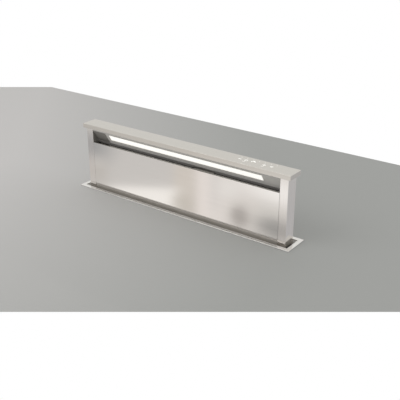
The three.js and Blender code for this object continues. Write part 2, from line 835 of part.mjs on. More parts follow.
const slideOuterFace = casingHalf - FIT;
const slideInnerFace = towerHalf + FIT;
const innerTop = -SLIDE_TOP;
const innerBottom = innerTop - SLIDE_LENGTH;
const ballGap = BALL_DIAMETER + 2 * BALL_CLEARANCE;
const outerHalf = SLIDE_WIDTH / 2;
const innerHalf = outerHalf - SLIDE_SHEET - ballGap;
const cageHalf = outerHalf - SLIDE_SHEET - ballGap / 2;
const innerReach = slideOuterFace - SLIDE_SHEET - CAGE_SHEET - 2 * FIT;
const cageMiddle = innerBottom + SLIDE_LENGTH / 2 - travel / 4;

function makeSlideOuter() {
  const open = slideInnerFace + SLIDE_SHEET + FIT;
  const path = [
    [open, -outerHalf],
    [slideOuterFace, -outerHalf],
    [slideOuterFace, outerHalf],
    [open, outerHalf],
  ];
  const bottom = innerBottom - travel;
  return alongZ(foldedSheet(path, SLIDE_SHEET), bottom, innerTop);
}

function makeSlideInner() {
  const path = [
    [innerReach, innerHalf],
    [slideInnerFace, innerHalf],
    [slideInnerFace, -innerHalf],
    [innerReach, -innerHalf],
  ];
  return alongZ(foldedSheet(path, SLIDE_SHEET), innerBottom, innerTop);
}

// A thin retainer with two rows of balls, which runs between the two rails
function makeBallCage() {
  const back = innerReach + FIT;
  const reach = (innerReach - slideInnerFace) / 2;
  const edge = cageHalf + CAGE_SHEET / 2;
  const path = [
    [back - reach, -edge],
    [back + CAGE_SHEET, -edge],
    [back + CAGE_SHEET, edge],
    [back - reach, edge],
  ];
  const bottom = cageMiddle - CAGE_LENGTH / 2;
  const strip = alongZ(foldedSheet(path, CAGE_SHEET), bottom, bottom + CAGE_LENGTH);
  const pitch = CAGE_LENGTH / BALLS_PER_ROW;
  const balls = [];
  for (const side of [-1, 1]) {
    for (let i = 0; i < BALLS_PER_ROW; i += 1) {
      const ball = new THREE.SphereGeometry(BALL_DIAMETER / 2, BALL_SIDES, BALL_RINGS);
      balls.push(ball.translate(back - reach / 2, side * cageHalf, bottom + pitch * (i + 0.5)));
    }
  }
  return carve(strip, { add: balls });
}

pair('slide_outer', 'zincPlate', makeSlideOuter);
pair('slide_inner', 'zincPlate', makeSlideInner);
pair('ball_cage', 'ballSteel', makeBallCage);

// ---------------------------------------------------------------------------
// Lead screws, nuts and bearings
// ---------------------------------------------------------------------------

const bearingBottom = casingFloor + FIT;
const bearingTop = bearingBottom + BEARING_HEIGHT;
const nutBottom = towerBottom;
const nutTop = nutBottom + NUT_HEIGHT;
const screwTop = nutTop + NUT_COLLAR_HEIGHT + SCREW_PROUD;
const screwBore = SCREW_RADIUS + FIT;

function makeScrew() {
  const profile = [
    [0, bearingBottom + FIT],
    [SCREW_STUB_RADIUS, bearingBottom + FIT],
    [SCREW_STUB_RADIUS, bearingTop + FIT],
    [SCREW_RADIUS, bearingTop + FIT],
    [SCREW_RADIUS, screwTop],
    [0, screwTop],
  ];
  return lathe(profile, BORE_SIDES).translate(pillarMiddle, 0, 0);
}

function makeBearing() {
  const half = BEARING_SIZE / 2;
  const base = block(-half, half, -half, half, bearingBottom, bearingTop);
  const bore = rod(SCREW_STUB_RADIUS + FIT, bearingBottom - FIT, bearingTop + FIT, BORE_SIDES);
  return carve(base, { remove: [bore] }).translate(pillarMiddle, 0, 0);
}

// A block that fills the foot of the pillar, with a collar round the screw
function makeNut() {
  const x0 = pillarInner + PILLAR_SHEET + FIT;
  const x1 = towerHalf - PILLAR_SHEET - FIT;
  const half = towerBack - PILLAR_SHEET - FIT;
  const base = block(x0, x1, -half, half, nutBottom, nutTop);
  const collar = rod(NUT_COLLAR_RADIUS, nutTop - FIT, nutTop + NUT_COLLAR_HEIGHT, BORE_SIDES);
  const bore = rod(screwBore, nutBottom - FIT, screwTop, BORE_SIDES);
  return carve(base, {
    add: [collar.translate(pillarMiddle, 0, 0)],
    remove: [bore.translate(pillarMiddle, 0, 0)],
  });
}

pair('lift_screw', 'screwSteel', makeScrew);
pair('screw_bearing', 'zincPlate', makeBearing);
pair('lift_nut', 'brass', makeNut);

// ---------------------------------------------------------------------------
// Pulleys, belt, gears and gear motor
// ---------------------------------------------------------------------------

const pulleyBottom = bearingTop + 2 * FIT;
const beltBottom = pulleyBottom + PULLEY_RIM_THICKNESS + FIT;
const beltTop = beltBottom + BELT_WIDTH;
const pulleyTop = beltTop + FIT + PULLEY_RIM_THICKNESS;
const gearBottom = pulleyTop + 2 * FIT;
const gearTop = gearBottom + GEAR_THICKNESS;
const pinionPitchRadius = (GEAR_PITCH_RADIUS * PINION_TEETH) / GEAR_TEETH;
const toothPitch = (2 * Math.PI * GEAR_PITCH_RADIUS) / GEAR_TEETH;
const toothRise = toothPitch / 4;
const motorX = pillarMiddle - GEAR_PITCH_RADIUS - pinionPitchRadius;
const motorBottom = gearTop + FIT;

function makePulley() {
  const rim = PULLEY_RADIUS + PULLEY_RIM;
  const bore = SCREW_RADIUS + GEAR_BORE_GAP;
  const profile = [
    [bore, pulleyBottom],
    [rim, pulleyBottom],
    [rim, pulleyBottom + PULLEY_RIM_THICKNESS],
    [PULLEY_RADIUS, pulleyBottom + PULLEY_RIM_THICKNESS],
    [PULLEY_RADIUS, pulleyTop - PULLEY_RIM_THICKNESS],
    [rim, pulleyTop - PULLEY_RIM_THICKNESS],
    [rim, pulleyTop],
    [bore, pulleyTop],
  ];
  return lathe(profile, PULLEY_SIDES).translate(pillarMiddle, 0, 0);
}

// A closed outline round both pulleys
function beltOutline(radius, Kind) {
  const path = new Kind();
  path.absarc(pillarMiddle, 0, radius, -Math.PI / 2, Math.PI / 2, false);
  path.absarc(-pillarMiddle, 0, radius, Math.PI / 2, (3 * Math.PI) / 2, false);
  path.closePath();
  return path;
}

function makeBelt() {
  const inner = PULLEY_RADIUS + FIT;
  const shape = beltOutline(inner + BELT_THICKNESS, THREE.Shape);
  shape.holes.push(beltOutline(inner, THREE.Path));
  const geometry = new THREE.ExtrudeGeometry(shape, {
    depth: BELT_WIDTH,
    bevelEnabled: false,
    curveSegments: BELT_END_STEPS,
  });
  return geometry.translate(0, 0, beltBottom);
}

// A spur gear about Z, with its first tooth at the given angle
function gearShape(pitchRadius, teeth, firstTooth) {
  const step = (2 * Math.PI) / teeth;
  const root = pitchRadius - toothRise;
  const tip = pitchRadius + toothRise - GEAR_BACKLASH;
  const rootHalf = step * TOOTH_ROOT_SHARE - GEAR_BACKLASH / 2 / root;
  const tipHalf = step * TOOTH_TIP_SHARE - GEAR_BACKLASH / 2 / tip;
  const points = [];
  for (let i = 0; i < teeth; i += 1) {
    const middle = firstTooth + step * i;
    const corners = [[root, -rootHalf], [tip, -tipHalf], [tip, tipHalf], [root, rootHalf]];
    for (const [radius, turn] of corners) {
      points.push([radius * Math.cos(middle + turn), radius * Math.sin(middle + turn)]);
    }
  }
  return outline(points);
}

// The gear on the right screw, with a gap between two teeth turned towards the pinion
function makeDriveGear() {
  const firstTooth = Math.PI + Math.PI / GEAR_TEETH;
  const disc = alongZ(gearShape(GEAR_PITCH_RADIUS, GEAR_TEETH, firstTooth), gearBottom, gearTop);
  const bore = rod(SCREW_RADIUS + GEAR_BORE_GAP, gearBottom - FIT, gearTop + FIT, BORE_SIDES);
  return carve(disc, { remove: [bore] }).translate(pillarMiddle, 0, 0);
}

// The pinion has a short shaft that runs up into the gearbox
function makePinion() {
  const disc = alongZ(gearShape(pinionPitchRadius, PINION_TEETH, 0), gearBottom, gearTop);
  const shaftTop = motorBottom + GEARBOX_HEIGHT / 2;
  const shaft = rod(MOTOR_SHAFT_RADIUS, gearTop - FIT, shaftTop, PIN_SIDES);
  return carve(disc, { add: [shaft] }).translate(motorX, 0, 0);
}

// Gearbox, motor can and the lug that is screwed to the back of the casing
function makeLiftMotor() {
  const half = MOTOR_SIZE / 2;
  const top = motorBottom + GEARBOX_HEIGHT;
  const gearbox = block(motorX - half, motorX + half, -half, half, motorBottom, top);
  const can = rod(MOTOR_RADIUS, top - FIT, top + MOTOR_HEIGHT, PULLEY_SIDES).translate(motorX, 0, 0);
  const lugBack = casingHalfDepth - FIT;
  const lug = block(
    motorX - half,
    motorX + half,
    half - FIT,
    lugBack,
    top - MOTOR_LUG_THICKNESS,
    top,
  );
  const foot = block(
    motorX - half,
    motorX + half,
    lugBack - MOTOR_LUG_THICKNESS,
    lugBack,
    top - MOTOR_LUG_THICKNESS,
    top + GEARBOX_HEIGHT,
  );
  const holeTop = motorBottom + GEARBOX_HEIGHT / 2 + FIT;
  const shaftHole = rod(MOTOR_SHAFT_RADIUS + FIT, motorBottom - FIT, holeTop, PIN_SIDES);
  return carve(gearbox, { add: [can, lug, foot], remove: [shaftHole.translate(motorX, 0, 0)] });
}

pair('sync_pulley', 'aluminium', makePulley);
piece('sync_belt', 'rubber', makeBelt());
piece('drive_gear', 'whitePlastic', makeDriveGear());
piece('motor_pinion', 'brass', makePinion());
piece('lift_motor', 'zincPlate', makeLiftMotor());

// ---------------------------------------------------------------------------
// Blower
// ---------------------------------------------------------------------------

const blowerBack = casingFront - FIT;
const blowerFront = blowerBack - BLOWER_DEPTH;
const blowerTop = casingBottom + BLOWER_HEIGHT;
const blowerHalf = BLOWER_WIDTH / 2;
const scrollBack = blowerBack - SCROLL_SETBACK;
const scrollFront = scrollBack - SCROLL_DEPTH;
const wheelBack = scrollBack - (SCROLL_DEPTH - WHEEL_DEPTH) / 2;
const wheelFront = wheelBack - WHEEL_DEPTH;
const collarY = casingFront - COLLAR_FORWARD;
const collarZ = wheelHeight + COLLAR_RISE;
const collarBore = COLLAR_RADIUS - COLLAR_SHEET;

// A tray with its open side to the front, and a square opening for the inlet and for the outlet
function makeBlowerBox() {
  const tray = block(-blowerHalf, blowerHalf, blowerFront, blowerBack, casingBottom, blowerTop);
  const hollow = block(
    BLOWER_SHEET - blowerHalf,
    blowerHalf - BLOWER_SHEET,
    blowerFront - BLOWER_SHEET,
    blowerBack - BLOWER_SHEET,
    casingBottom + BLOWER_SHEET,
    blowerTop - BLOWER_SHEET,
  );
  const outlet = block(
    blowerHalf - BLOWER_SHEET - FIT,
    blowerHalf + FIT,
    collarY - collarBore,
    collarY + collarBore,
    collarZ - collarBore,
    collarZ + collarBore,
  );
  const inlet = inletCutOut(blowerBack - BLOWER_SHEET - FIT, blowerBack + FIT);
  return carve(tray, { remove: [hollow, inlet, outlet] });
}

function makeBlowerCover() {
  const front = blowerFront - FIT - BLOWER_SHEET;
  return block(-blowerHalf, blowerHalf, front, front + BLOWER_SHEET, casingBottom, blowerTop);
}

// The spiral as a closed [z, x] outline about the wheel's axis, open to the right at its top
function scrollShape(inset) {
  const floor = SCROLL_INNER * Math.sin(THREE.MathUtils.degToRad(SCROLL_CUTOFF_ANGLE)) + inset;
  const start = Math.asin(floor / (SCROLL_INNER - inset));
  const end = (-3 * Math.PI) / 2;
  const mouth = blowerHalf - BLOWER_SHEET - FIT + inset;
  const points = [];
  for (let i = 0; i <= SCROLL_STEPS; i += 1) {
    const share = i / SCROLL_STEPS;
    const angle = THREE.MathUtils.lerp(start, end, share);
    const radius = THREE.MathUtils.lerp(SCROLL_INNER, SCROLL_OUTER, share) - inset;
    points.push([wheelHeight + radius * Math.sin(angle), radius * Math.cos(angle)]);
  }
  points.push([wheelHeight + SCROLL_OUTER - inset, mouth]);
  points.push([wheelHeight + floor, mouth]);
  return outline(points);
}

function makeScroll() {
  const body = alongY(scrollShape(0), scrollFront, scrollBack);
  const hollowFront = scrollFront + SCROLL_SHEET;
  const hollow = alongY(scrollShape(SCROLL_SHEET), hollowFront, scrollBack - SCROLL_SHEET);
  const inlet = toY(rod(inletHole, -SCROLL_SETBACK, SCROLL_SETBACK, DRUM_SIDES));
  const motorHole = toY(rod(HUB_RADIUS, -SCROLL_SETBACK, SCROLL_SETBACK, BORE_SIDES));
  const postEnd = SCROLL_SETBACK - BLOWER_SHEET - FIT;
  const posts = [];
  for (let i = 0; i < SCROLL_POSTS; i += 1) {
    const angle = (2 * Math.PI * (i + 0.5)) / SCROLL_POSTS;
    const post = toY(rod(SCROLL_POST_RADIUS, -SCROLL_SHEET / 2, postEnd, PIN_SIDES));
    posts.push(post.translate(
      SCROLL_POST_CIRCLE * Math.cos(angle),
      scrollBack,
      wheelHeight + SCROLL_POST_CIRCLE * Math.sin(angle),
    ));
  }
  return carve(body, {
    add: posts,
    remove: [
      hollow,
      inlet.translate(0, scrollBack, wheelHeight),
      motorHole.translate(0, scrollFront, wheelHeight),
    ],
  });
}

// A round mouth from the casing to the eye of the wheel, on a square plate over the opening
function makeInletRing() {
  const face = -casingHalfDepth + FIT;
  const back = face + INLET_SHEET;
  const tip = wheelBack + 2 * FIT;
  const half = INLET_RADIUS + INLET_FLANGE;
  const plate = block(-half, half, face, back, wheelHeight - half, wheelHeight + half);
  const mouth = toY(rod(INLET_RADIUS + INLET_SHEET, tip, face + FIT, WHEEL_SIDES));
  const bore = toY(rod(INLET_RADIUS, tip - FIT, back + FIT, WHEEL_SIDES));
  return carve(plate, {
    add: [mouth.translate(0, 0, wheelHeight)],
    remove: [bore.translate(0, 0, wheelHeight)],
  });
}

// A squirrel cage wheel: back disc, front ring, leaning blades, hub and shaft
function makeImpeller() {
  const disc = rod(WHEEL_RADIUS, wheelFront, wheelFront + WHEEL_SHEET, WHEEL_SIDES);
  const ringProfile = [
    [WHEEL_EYE, wheelBack - WHEEL_SHEET],
    [WHEEL_RADIUS, wheelBack - WHEEL_SHEET],
    [WHEEL_RADIUS, wheelBack],
    [WHEEL_EYE, wheelBack],
  ];
  const pieces = [lathe(ringProfile, WHEEL_SIDES)];
  const lean = THREE.MathUtils.degToRad(BLADE_LEAN);
  const middle = (WHEEL_EYE + WHEEL_RADIUS) / 2;
  for (let i = 0; i < BLADES; i += 1) {
    const blade = block(
      -BLADE_CHORD / 2,
      BLADE_CHORD / 2,
      -BLADE_SHEET / 2,
      BLADE_SHEET / 2,
      wheelFront + WHEEL_SHEET / 2,
      wheelBack - WHEEL_SHEET / 2,
    );
    blade.rotateZ(lean).translate(middle, 0, 0);
    pieces.push(blade.rotateZ((2 * Math.PI * i) / BLADES));
  }
  const hubEnd = wheelFront + HUB_LENGTH;
  pieces.push(rod(HUB_RADIUS - HUB_CLEARANCE, wheelFront, hubEnd, BORE_SIDES));
  pieces.push(rod(SHAFT_RADIUS, wheelFront - SHAFT_REACH, hubEnd, BORE_SIDES));
  return toY(carve(disc, { add: pieces })).translate(0, 0, wheelHeight);
}

// A round motor on a flange, with a socket for the wheel's shaft
function makeBlowerMotor() {
  const face = scrollFront - FIT;
  const flangeFront = face - FAN_MOTOR_FLANGE_DEPTH;
  const flange = rod(FAN_MOTOR_FLANGE, flangeFront, face, DRUM_SIDES);
  const can = rod(FAN_MOTOR_RADIUS, flangeFront - FAN_MOTOR_DEPTH, face, DRUM_SIDES);
  const socket = rod(SHAFT_RADIUS + FIT, face - FAN_MOTOR_SOCKET, face + FIT, BORE_SIDES);
  return toY(carve(flange, { add: [can], remove: [socket] })).translate(0, 0, wheelHeight);
}

const flapX = blowerHalf + FIT + COLLAR_SHEET + FLAP_DISTANCE;
const flapPinZ = collarZ + FLAP_PIN_RISE;

// A square plate with a round spigot and holes for the flap's pin
function makeCollar() {
  const plateBack = blowerHalf + FIT;
  const half = COLLAR_RADIUS + COLLAR_PLATE;
  const plate = block(
    plateBack,
    plateBack + COLLAR_SHEET,
    collarY - half,
    Math.min(collarY + half, blowerBack),
    collarZ - half,
    Math.min(collarZ + half, blowerTop),
  );
  const spigotEnd = plateBack + COLLAR_LENGTH;
  const spigot = toX(rod(COLLAR_RADIUS, plateBack, spigotEnd, DRUM_SIDES));
  const bore = toX(rod(collarBore, plateBack - FIT, spigotEnd + FIT, DRUM_SIDES));
  const pinHole = toY(rod(FLAP_PIN_RADIUS + FIT, -2 * COLLAR_RADIUS, 2 * COLLAR_RADIUS, PIN_SIDES));
  return carve(plate, {
    add: [spigot.translate(0, collarY, collarZ)],
    remove: [bore.translate(0, collarY, collarZ), pinHole.translate(flapX, collarY, flapPinZ)],
  });
}

// A round flap on a pin above its middle, so that it hangs shut
function makeFlap() {
  const radius = collarBore - FLAP_CLEARANCE;
  const disc = toX(rod(radius, -FLAP_THICKNESS / 2, FLAP_THICKNESS / 2, DRUM_SIDES));
  const pin = toY(rod(FLAP_PIN_RADIUS, -COLLAR_RADIUS, COLLAR_RADIUS, PIN_SIDES));
  return carve(disc.translate(flapX, collarY, collarZ), {
    add: [pin.translate(flapX, collarY, flapPinZ)],
  });
}

piece('blower_box', 'galvanised', makeBlowerBox());
piece('blower_cover', 'galvanised', makeBlowerCover());
piece('scroll_housing', 'blackPlastic', makeScroll());
piece('inlet_ring', 'zincPlate', makeInletRing());
piece('impeller', 'greyPlastic', makeImpeller());
piece('blower_motor', 'zincPlate', makeBlowerMotor());
piece('exhaust_collar', 'galvanised', makeCollar());
piece('damper_flap', 'aluminium', makeFlap());

// ---------------------------------------------------------------------------
// Control box
// ---------------------------------------------------------------------------

const controlLeft = SIDE_FOLD + CONTROL_MARGIN - sideOuter;
const controlRight = controlLeft + CONTROL_WIDTH;
const controlLow = -CONTROL_BOTTOM;
const controlHigh = controlLow + CONTROL_HEIGHT;
const controlBack = casingFront - FIT;
const controlFront = controlBack - CONTROL_DEPTH;
const glandX = controlLeft + GLAND_INSET;
const glandY = controlBack - CONTROL_DEPTH / 2;

function makeControlBox() {
  const tray = block(controlLeft, controlRight, controlFront, controlBack, controlLow, controlHigh);
  const hollow = block(
    controlLeft + CONTROL_SHEET,
    controlRight - CONTROL_SHEET,
    controlFront - CONTROL_SHEET,
    controlBack - CONTROL_SHEET,
    controlLow + CONTROL_SHEET,
    controlHigh - CONTROL_SHEET,
  );
  const hole = rod(GLAND_RADIUS + FIT, controlLow - FIT, controlLow + CONTROL_SHEET + FIT, BORE_SIDES);
  return carve(tray, { remove: [hollow, hole.translate(glandX, glandY, 0)] });
}

function makeControlLid() {
  const face = controlFront - FIT;
  return block(controlLeft, controlRight, face - CONTROL_SHEET, face, controlLow, controlHigh);
}

// A circuit board with its larger parts: transformer, relays and capacitor
function makeControlBoard() {
  const back = controlBack - CONTROL_SHEET - FIT;
  const x0 = controlLeft + BOARD_INSET;
  const x1 = controlRight - BOARD_INSET;
  const z0 = controlLow + 2 * BOARD_INSET;
  const z1 = controlHigh - BOARD_INSET;
  const face = back - BOARD_STANDOFF;
  const low = z0 + PART_MARGIN;
  const right = x1 - PART_MARGIN;
  const transformer = block(
    right - TRANSFORMER_SIZE,
    right,
    face - TRANSFORMER_HEIGHT,
    back,
    low,
    low + TRANSFORMER_SIZE,
  );
  const relays = [];
  for (let i = 0; i < RELAYS; i += 1) {
    const left = x0 + PART_MARGIN + RELAY_PITCH * i;
    relays.push(block(left, left + RELAY_WIDTH, face - RELAY_HEIGHT, back, low, low + RELAY_LENGTH));
  }
  const capacitor = toX(rod(CAPACITOR_RADIUS, 0, CAPACITOR_LENGTH, BORE_SIDES)).translate(
    x0 + PART_MARGIN,
    face - CAPACITOR_RADIUS + BOARD_STANDOFF / 2,
    z1 - PART_MARGIN - CAPACITOR_RADIUS,
  );
  return carve(block(x0, x1, face, back, z0, z1), { add: [transformer, ...relays, capacitor] });
}

// A hollow cable gland in the underside of the box, with its nut inside and its dome outside
function makeGland() {
  const seat = controlLow;
  const wide = GLAND_RADIUS + GLAND_RIM;
  const profile = [
    [GLAND_BORE, seat - GLAND_LENGTH],
    [GLAND_RADIUS, seat - GLAND_LENGTH],
    [wide, seat - GLAND_LENGTH / 2],
    [wide, seat - FIT],
    [GLAND_RADIUS, seat - FIT],
    [GLAND_RADIUS, seat + CONTROL_SHEET + FIT],
    [wide, seat + CONTROL_SHEET + FIT],
    [wide, seat + GLAND_NUT_HEIGHT],
    [GLAND_BORE, seat + GLAND_NUT_HEIGHT],
  ];
  return lathe(profile, BORE_SIDES).translate(glandX, glandY, 0);
}

piece('control_box', 'galvanised', makeControlBox());
piece('control_box_lid', 'galvanised', makeControlLid());
piece('control_board', 'boardGreen', makeControlBoard());
piece('cable_gland', 'blackPlastic', makeGland());

export default vent;
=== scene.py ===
import json
from math import pi, radians

import bmesh
import bpy
from mathutils import Matrix, Vector

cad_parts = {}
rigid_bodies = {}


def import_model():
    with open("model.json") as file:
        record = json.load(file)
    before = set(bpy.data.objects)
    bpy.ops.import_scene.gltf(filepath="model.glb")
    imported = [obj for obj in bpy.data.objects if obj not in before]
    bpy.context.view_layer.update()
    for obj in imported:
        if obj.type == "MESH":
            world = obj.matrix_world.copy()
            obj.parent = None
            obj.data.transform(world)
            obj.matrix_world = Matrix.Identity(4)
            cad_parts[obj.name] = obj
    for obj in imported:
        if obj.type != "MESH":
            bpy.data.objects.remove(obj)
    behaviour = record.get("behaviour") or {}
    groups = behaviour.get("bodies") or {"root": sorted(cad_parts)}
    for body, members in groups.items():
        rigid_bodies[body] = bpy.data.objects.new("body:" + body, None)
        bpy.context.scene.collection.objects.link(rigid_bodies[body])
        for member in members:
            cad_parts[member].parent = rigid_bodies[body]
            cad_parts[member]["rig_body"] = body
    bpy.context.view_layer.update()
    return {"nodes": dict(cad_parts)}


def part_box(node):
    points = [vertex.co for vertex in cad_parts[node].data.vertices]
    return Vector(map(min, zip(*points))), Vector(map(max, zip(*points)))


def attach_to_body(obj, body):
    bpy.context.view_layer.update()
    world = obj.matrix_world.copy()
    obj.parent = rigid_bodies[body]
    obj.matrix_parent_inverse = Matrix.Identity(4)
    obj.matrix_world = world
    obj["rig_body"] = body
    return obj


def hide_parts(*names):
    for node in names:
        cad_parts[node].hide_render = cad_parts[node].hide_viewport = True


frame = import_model()

# ---------------------------------------------------------------------------
# Casing: five galvanised sheets, folded and lapped into a narrow box that
# hangs under the worktop. The laps are held by blind rivets, and long pressed
# beads stiffen the front and back sheets.
# ---------------------------------------------------------------------------

TINY = 1e-6  # closer than this, in metres, two places are the same


def colour(red, green, blue):
    """Linear colour from the 0 to 255 values of a screen colour."""
    shares = [value / 255 for value in (red, green, blue)]
    return [s / 12.92 if s <= 0.04045 else ((s + 0.055) / 1.055) ** 2.4 for s in shares] + [1]


def add(tree, kind, inputs=(), **settings):
    """Adds a shader node, sets its properties, and fills or links its inputs."""
    node = tree.nodes.new("ShaderNode" + kind)
    for name, value in settings.items():
        setattr(node, name, value)
    for socket, value in dict(inputs).items():
        if isinstance(value, bpy.types.NodeSocket):
            tree.links.new(value, node.inputs[socket])
        else:
            node.inputs[socket].default_value = value
    return node


def between(tree, share, first, second):
    """The colour between two colours, by a share that changes over the surface."""
    # A Mix node's two colours are its inputs 6 and 7, and the colour it gives is output 2.
    return add(tree, "Mix", {"Factor": share, 6: first, 7: second}, data_type="RGBA").outputs[2]


def effect(name, inputs, outputs):
    """Starts a shader node group and returns its tree, its inputs and its outputs."""
    tree = bpy.data.node_groups.new(name, "ShaderNodeTree")
    for label, kind, value in inputs:
        socket = tree.interface.new_socket(label, in_out="INPUT", socket_type="NodeSocket" + kind)
        socket.default_value = value
    for label, kind in outputs:
        tree.interface.new_socket(label, in_out="OUTPUT", socket_type="NodeSocket" + kind)
    return tree, tree.nodes.new("NodeGroupInput").outputs, tree.nodes.new("NodeGroupOutput").inputs


def make_spangle():
    """Zinc crystals: flat cells of slightly different greys, with a fine grain on them."""
    tree, given, out = effect(
        "spangle", [("Cells", "Float", 110.0)], [("Tone", "Float"), ("Relief", "Float")]
    )
    place = add(tree, "TexCoord").outputs["Object"]
    warp = add(tree, "TexNoise", {"Vector": place, "Scale": 40.0, "Detail": 2.0})
    moved = add(tree, "VectorMath", {0: warp.outputs["Color"], 1: (0.012,) * 3}, operation="MULTIPLY")
    bent = add(tree, "VectorMath", {0: place, 1: moved.outputs[0]}, operation="ADD")
    cells = add(tree, "TexVoronoi", {"Vector": bent.outputs[0], "Scale": given["Cells"]})
    grey = add(tree, "SeparateColor", {"Color": cells.outputs["Color"]})
    fine = add(tree, "TexNoise", {"Vector": place, "Scale": 900.0, "Detail": 2.0})
    tone = add(tree, "Mix", {"Factor": 0.25, "A": grey.outputs["Red"], "B": fine.outputs["Fac"]})
    tree.links.new(tone.outputs["Result"], out["Tone"])
    tree.links.new(cells.outputs["Distance"], out["Relief"])
    return tree


def make_edge_wear():
    """A mask of the edges that handling and assembly have rubbed bright."""
    tree, given, out = effect("edge_wear", [("Reach", "Float", 0.0007)], [("Mask", "Float")])
    place = add(tree, "TexCoord").outputs["Object"]
    rounded = add(tree, "Bevel", {"Radius": given["Reach"]}, samples=4).outputs["Normal"]
    plain = add(tree, "NewGeometry").outputs["Normal"]
    match = add(tree, "VectorMath", {0: rounded, 1: plain}, operation="DOT_PRODUCT").outputs["Value"]
    edges = add(tree, "MapRange", {"Value": match, "From Min": 0.995, "From Max": 0.9})
    patches = add(tree, "TexNoise", {"Vector": place, "Scale": 90.0, "Detail": 3.0})
    worn = add(tree, "Math", {0: edges.outputs["Result"], 1: patches.outputs["Fac"]}, operation="MULTIPLY")
    tree.links.new(worn.outputs[0], out["Mask"])
    return tree


def make_handling():
    """Broad soft clouds, for the uneven gloss that hands, cloths and dust leave."""
    tree, given, out = effect("handling", [("Spread", "Float", 5.0)], [("Cloud", "Float")])
    place = add(tree, "TexCoord").outputs["Object"]
    cloud = add(tree, "TexNoise", {"Vector": place, "Scale": given["Spread"], "Detail": 1.0})
    even = add(tree, "MapRange", {"Value": cloud.outputs["Fac"], "From Min": 0.3, "From Max": 0.7})
    tree.links.new(even.outputs["Result"], out["Cloud"])
    return tree


spangle = make_spangle()
edge_wear = make_edge_wear()
handling = make_handling()


def finish(name, pattern, values, dark, light, gloss, relief, bright=None, **constants):
    """A material whose colour, roughness and relief follow a pattern group.

    dark, light and bright are screen colours, and bright is that of rubbed edges. gloss is the
    roughness from the smoothest to the dullest spot, and relief the depth in metres. Constants
    go straight onto the shader's sockets.
    """
    made = bpy.data.materials.new(name)
    made.use_nodes = True
    tree = made.node_tree
    shader = tree.nodes["Principled BSDF"]
    marks = add(tree, "Group", node_tree=pattern)
    for label, value in values.items():
        marks.inputs[label].default_value = value
    surface = between(tree, marks.outputs["Tone"], colour(*dark), colour(*light))
    if bright:
        worn = add(tree, "Group", node_tree=edge_wear)
        surface = between(tree, worn.outputs["Mask"], surface, colour(*bright))
    tree.links.new(surface, shader.inputs["Base Color"])
    clouds = add(tree, "Group", node_tree=handling)
    both = add(tree, "Mix", {"Factor": 0.3, "A": marks.outputs["Tone"], "B": clouds.outputs["Cloud"]})
    rough = add(
        tree, "MapRange", {"Value": both.outputs["Result"], "To Min": gloss[0], "To Max": gloss[1]}
    )
    tree.links.new(rough.outputs["Result"], shader.inputs["Roughness"])
    bump = add(tree, "Bump", {"Strength": 1.0, "Distance": relief, "Height": marks.outputs["Relief"]})
    tree.links.new(bump.outputs["Normal"], shader.inputs["Normal"])
    for label, value in constants.items():
        shader.inputs[label.replace("_", " ").title()].default_value = value
    return made


def pick(piece):
    """Leaves one piece selected and active."""
    bpy.ops.object.select_all(action="DESELECT")
    piece.select_set(True)
    bpy.context.view_layer.objects.active = piece


def edit_all(piece):
    """Takes one piece into edit mode with all of it selected."""
    pick(piece)
    bpy.ops.object.mode_set(mode="EDIT")
    bpy.ops.mesh.select_all(action="SELECT")


def facing(piece, direction, limit=0.9):
    """Takes one piece into edit mode with the faces selected that look one way."""
    edit_all(piece)
    bpy.ops.mesh.select_mode(type="FACE")
    bpy.ops.mesh.select_all(action="DESELECT")
    shape = bmesh.from_edit_mesh(piece.data)
    for face in shape.faces:
        face.select = face.normal.dot(Vector(direction)) > limit
    bmesh.update_edit_mesh(piece.data)


def stop_editing():
    """Leaves edit mode."""
    bpy.ops.object.mode_set(mode="OBJECT")


def apply_modifier(piece, kind, **settings):
    """Gives a piece a modifier with these settings, and applies it."""
    pick(piece)
    modifier = piece.modifiers.new(kind.lower(), kind)
    for name, value in settings.items():
        setattr(modifier, name, value)
    bpy.ops.object.modifier_apply(modifier=modifier.name)


def harden(piece, edge, segments=2, angle=35):
    """Rounds a piece's sharp edges and smooths what lies between them."""
    limit = radians(angle)
    apply_modifier(piece, "BEVEL", width=edge, segments=segments, limit_method="ANGLE", angle_limit=limit)
    bpy.ops.object.shade_smooth_by_angle(angle=limit)
    apply_modifier(piece, "WEIGHTED_NORMAL", weight=100, keep_sharp=True)


def attach(piece, body, material):
    """Gives a finished piece its material and its body."""
    piece.data.materials.clear()
    piece.data.materials.append(material)
    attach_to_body(piece, body)


def formed(node, edge, material, segments=2):
    """A sheet or block as made: a copy of its CAD node with merged faces and rounded edges."""
    source = frame["nodes"][node]
    piece = bpy.data.objects.new(node + "_formed", source.data.copy())
    bpy.context.scene.collection.objects.link(piece)
    edit_all(piece)
    bpy.ops.mesh.remove_doubles(threshold=TINY)
    bpy.ops.mesh.dissolve_limited(angle_limit=radians(0.5))
    stop_editing()
    harden(piece, edge, segments)
    attach(piece, source["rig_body"], material)
    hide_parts(node)


def joined(name, parts):
    """Joins modelled parts into one piece."""
    bpy.ops.object.select_all(action="DESELECT")
    for part in parts:
        part.select_set(True)
    bpy.context.view_layer.objects.active = parts[0]
    bpy.ops.object.join()
    parts[0].name = name
    return parts[0]


def repeated(master, name, places):
    """Copies a small piece to each (point, outward direction) and joins the copies into one."""
    copies = []
    for point, outward in places:
        copy = bpy.data.objects.new(name, master.data.copy())
        turn = Vector((0, 0, 1)).rotation_difference(Vector(outward)).to_matrix().to_4x4()
        copy.data.transform(Matrix.Translation(point) @ turn)
        bpy.context.scene.collection.objects.link(copy)
        copies.append(copy)
    return joined(name, copies)


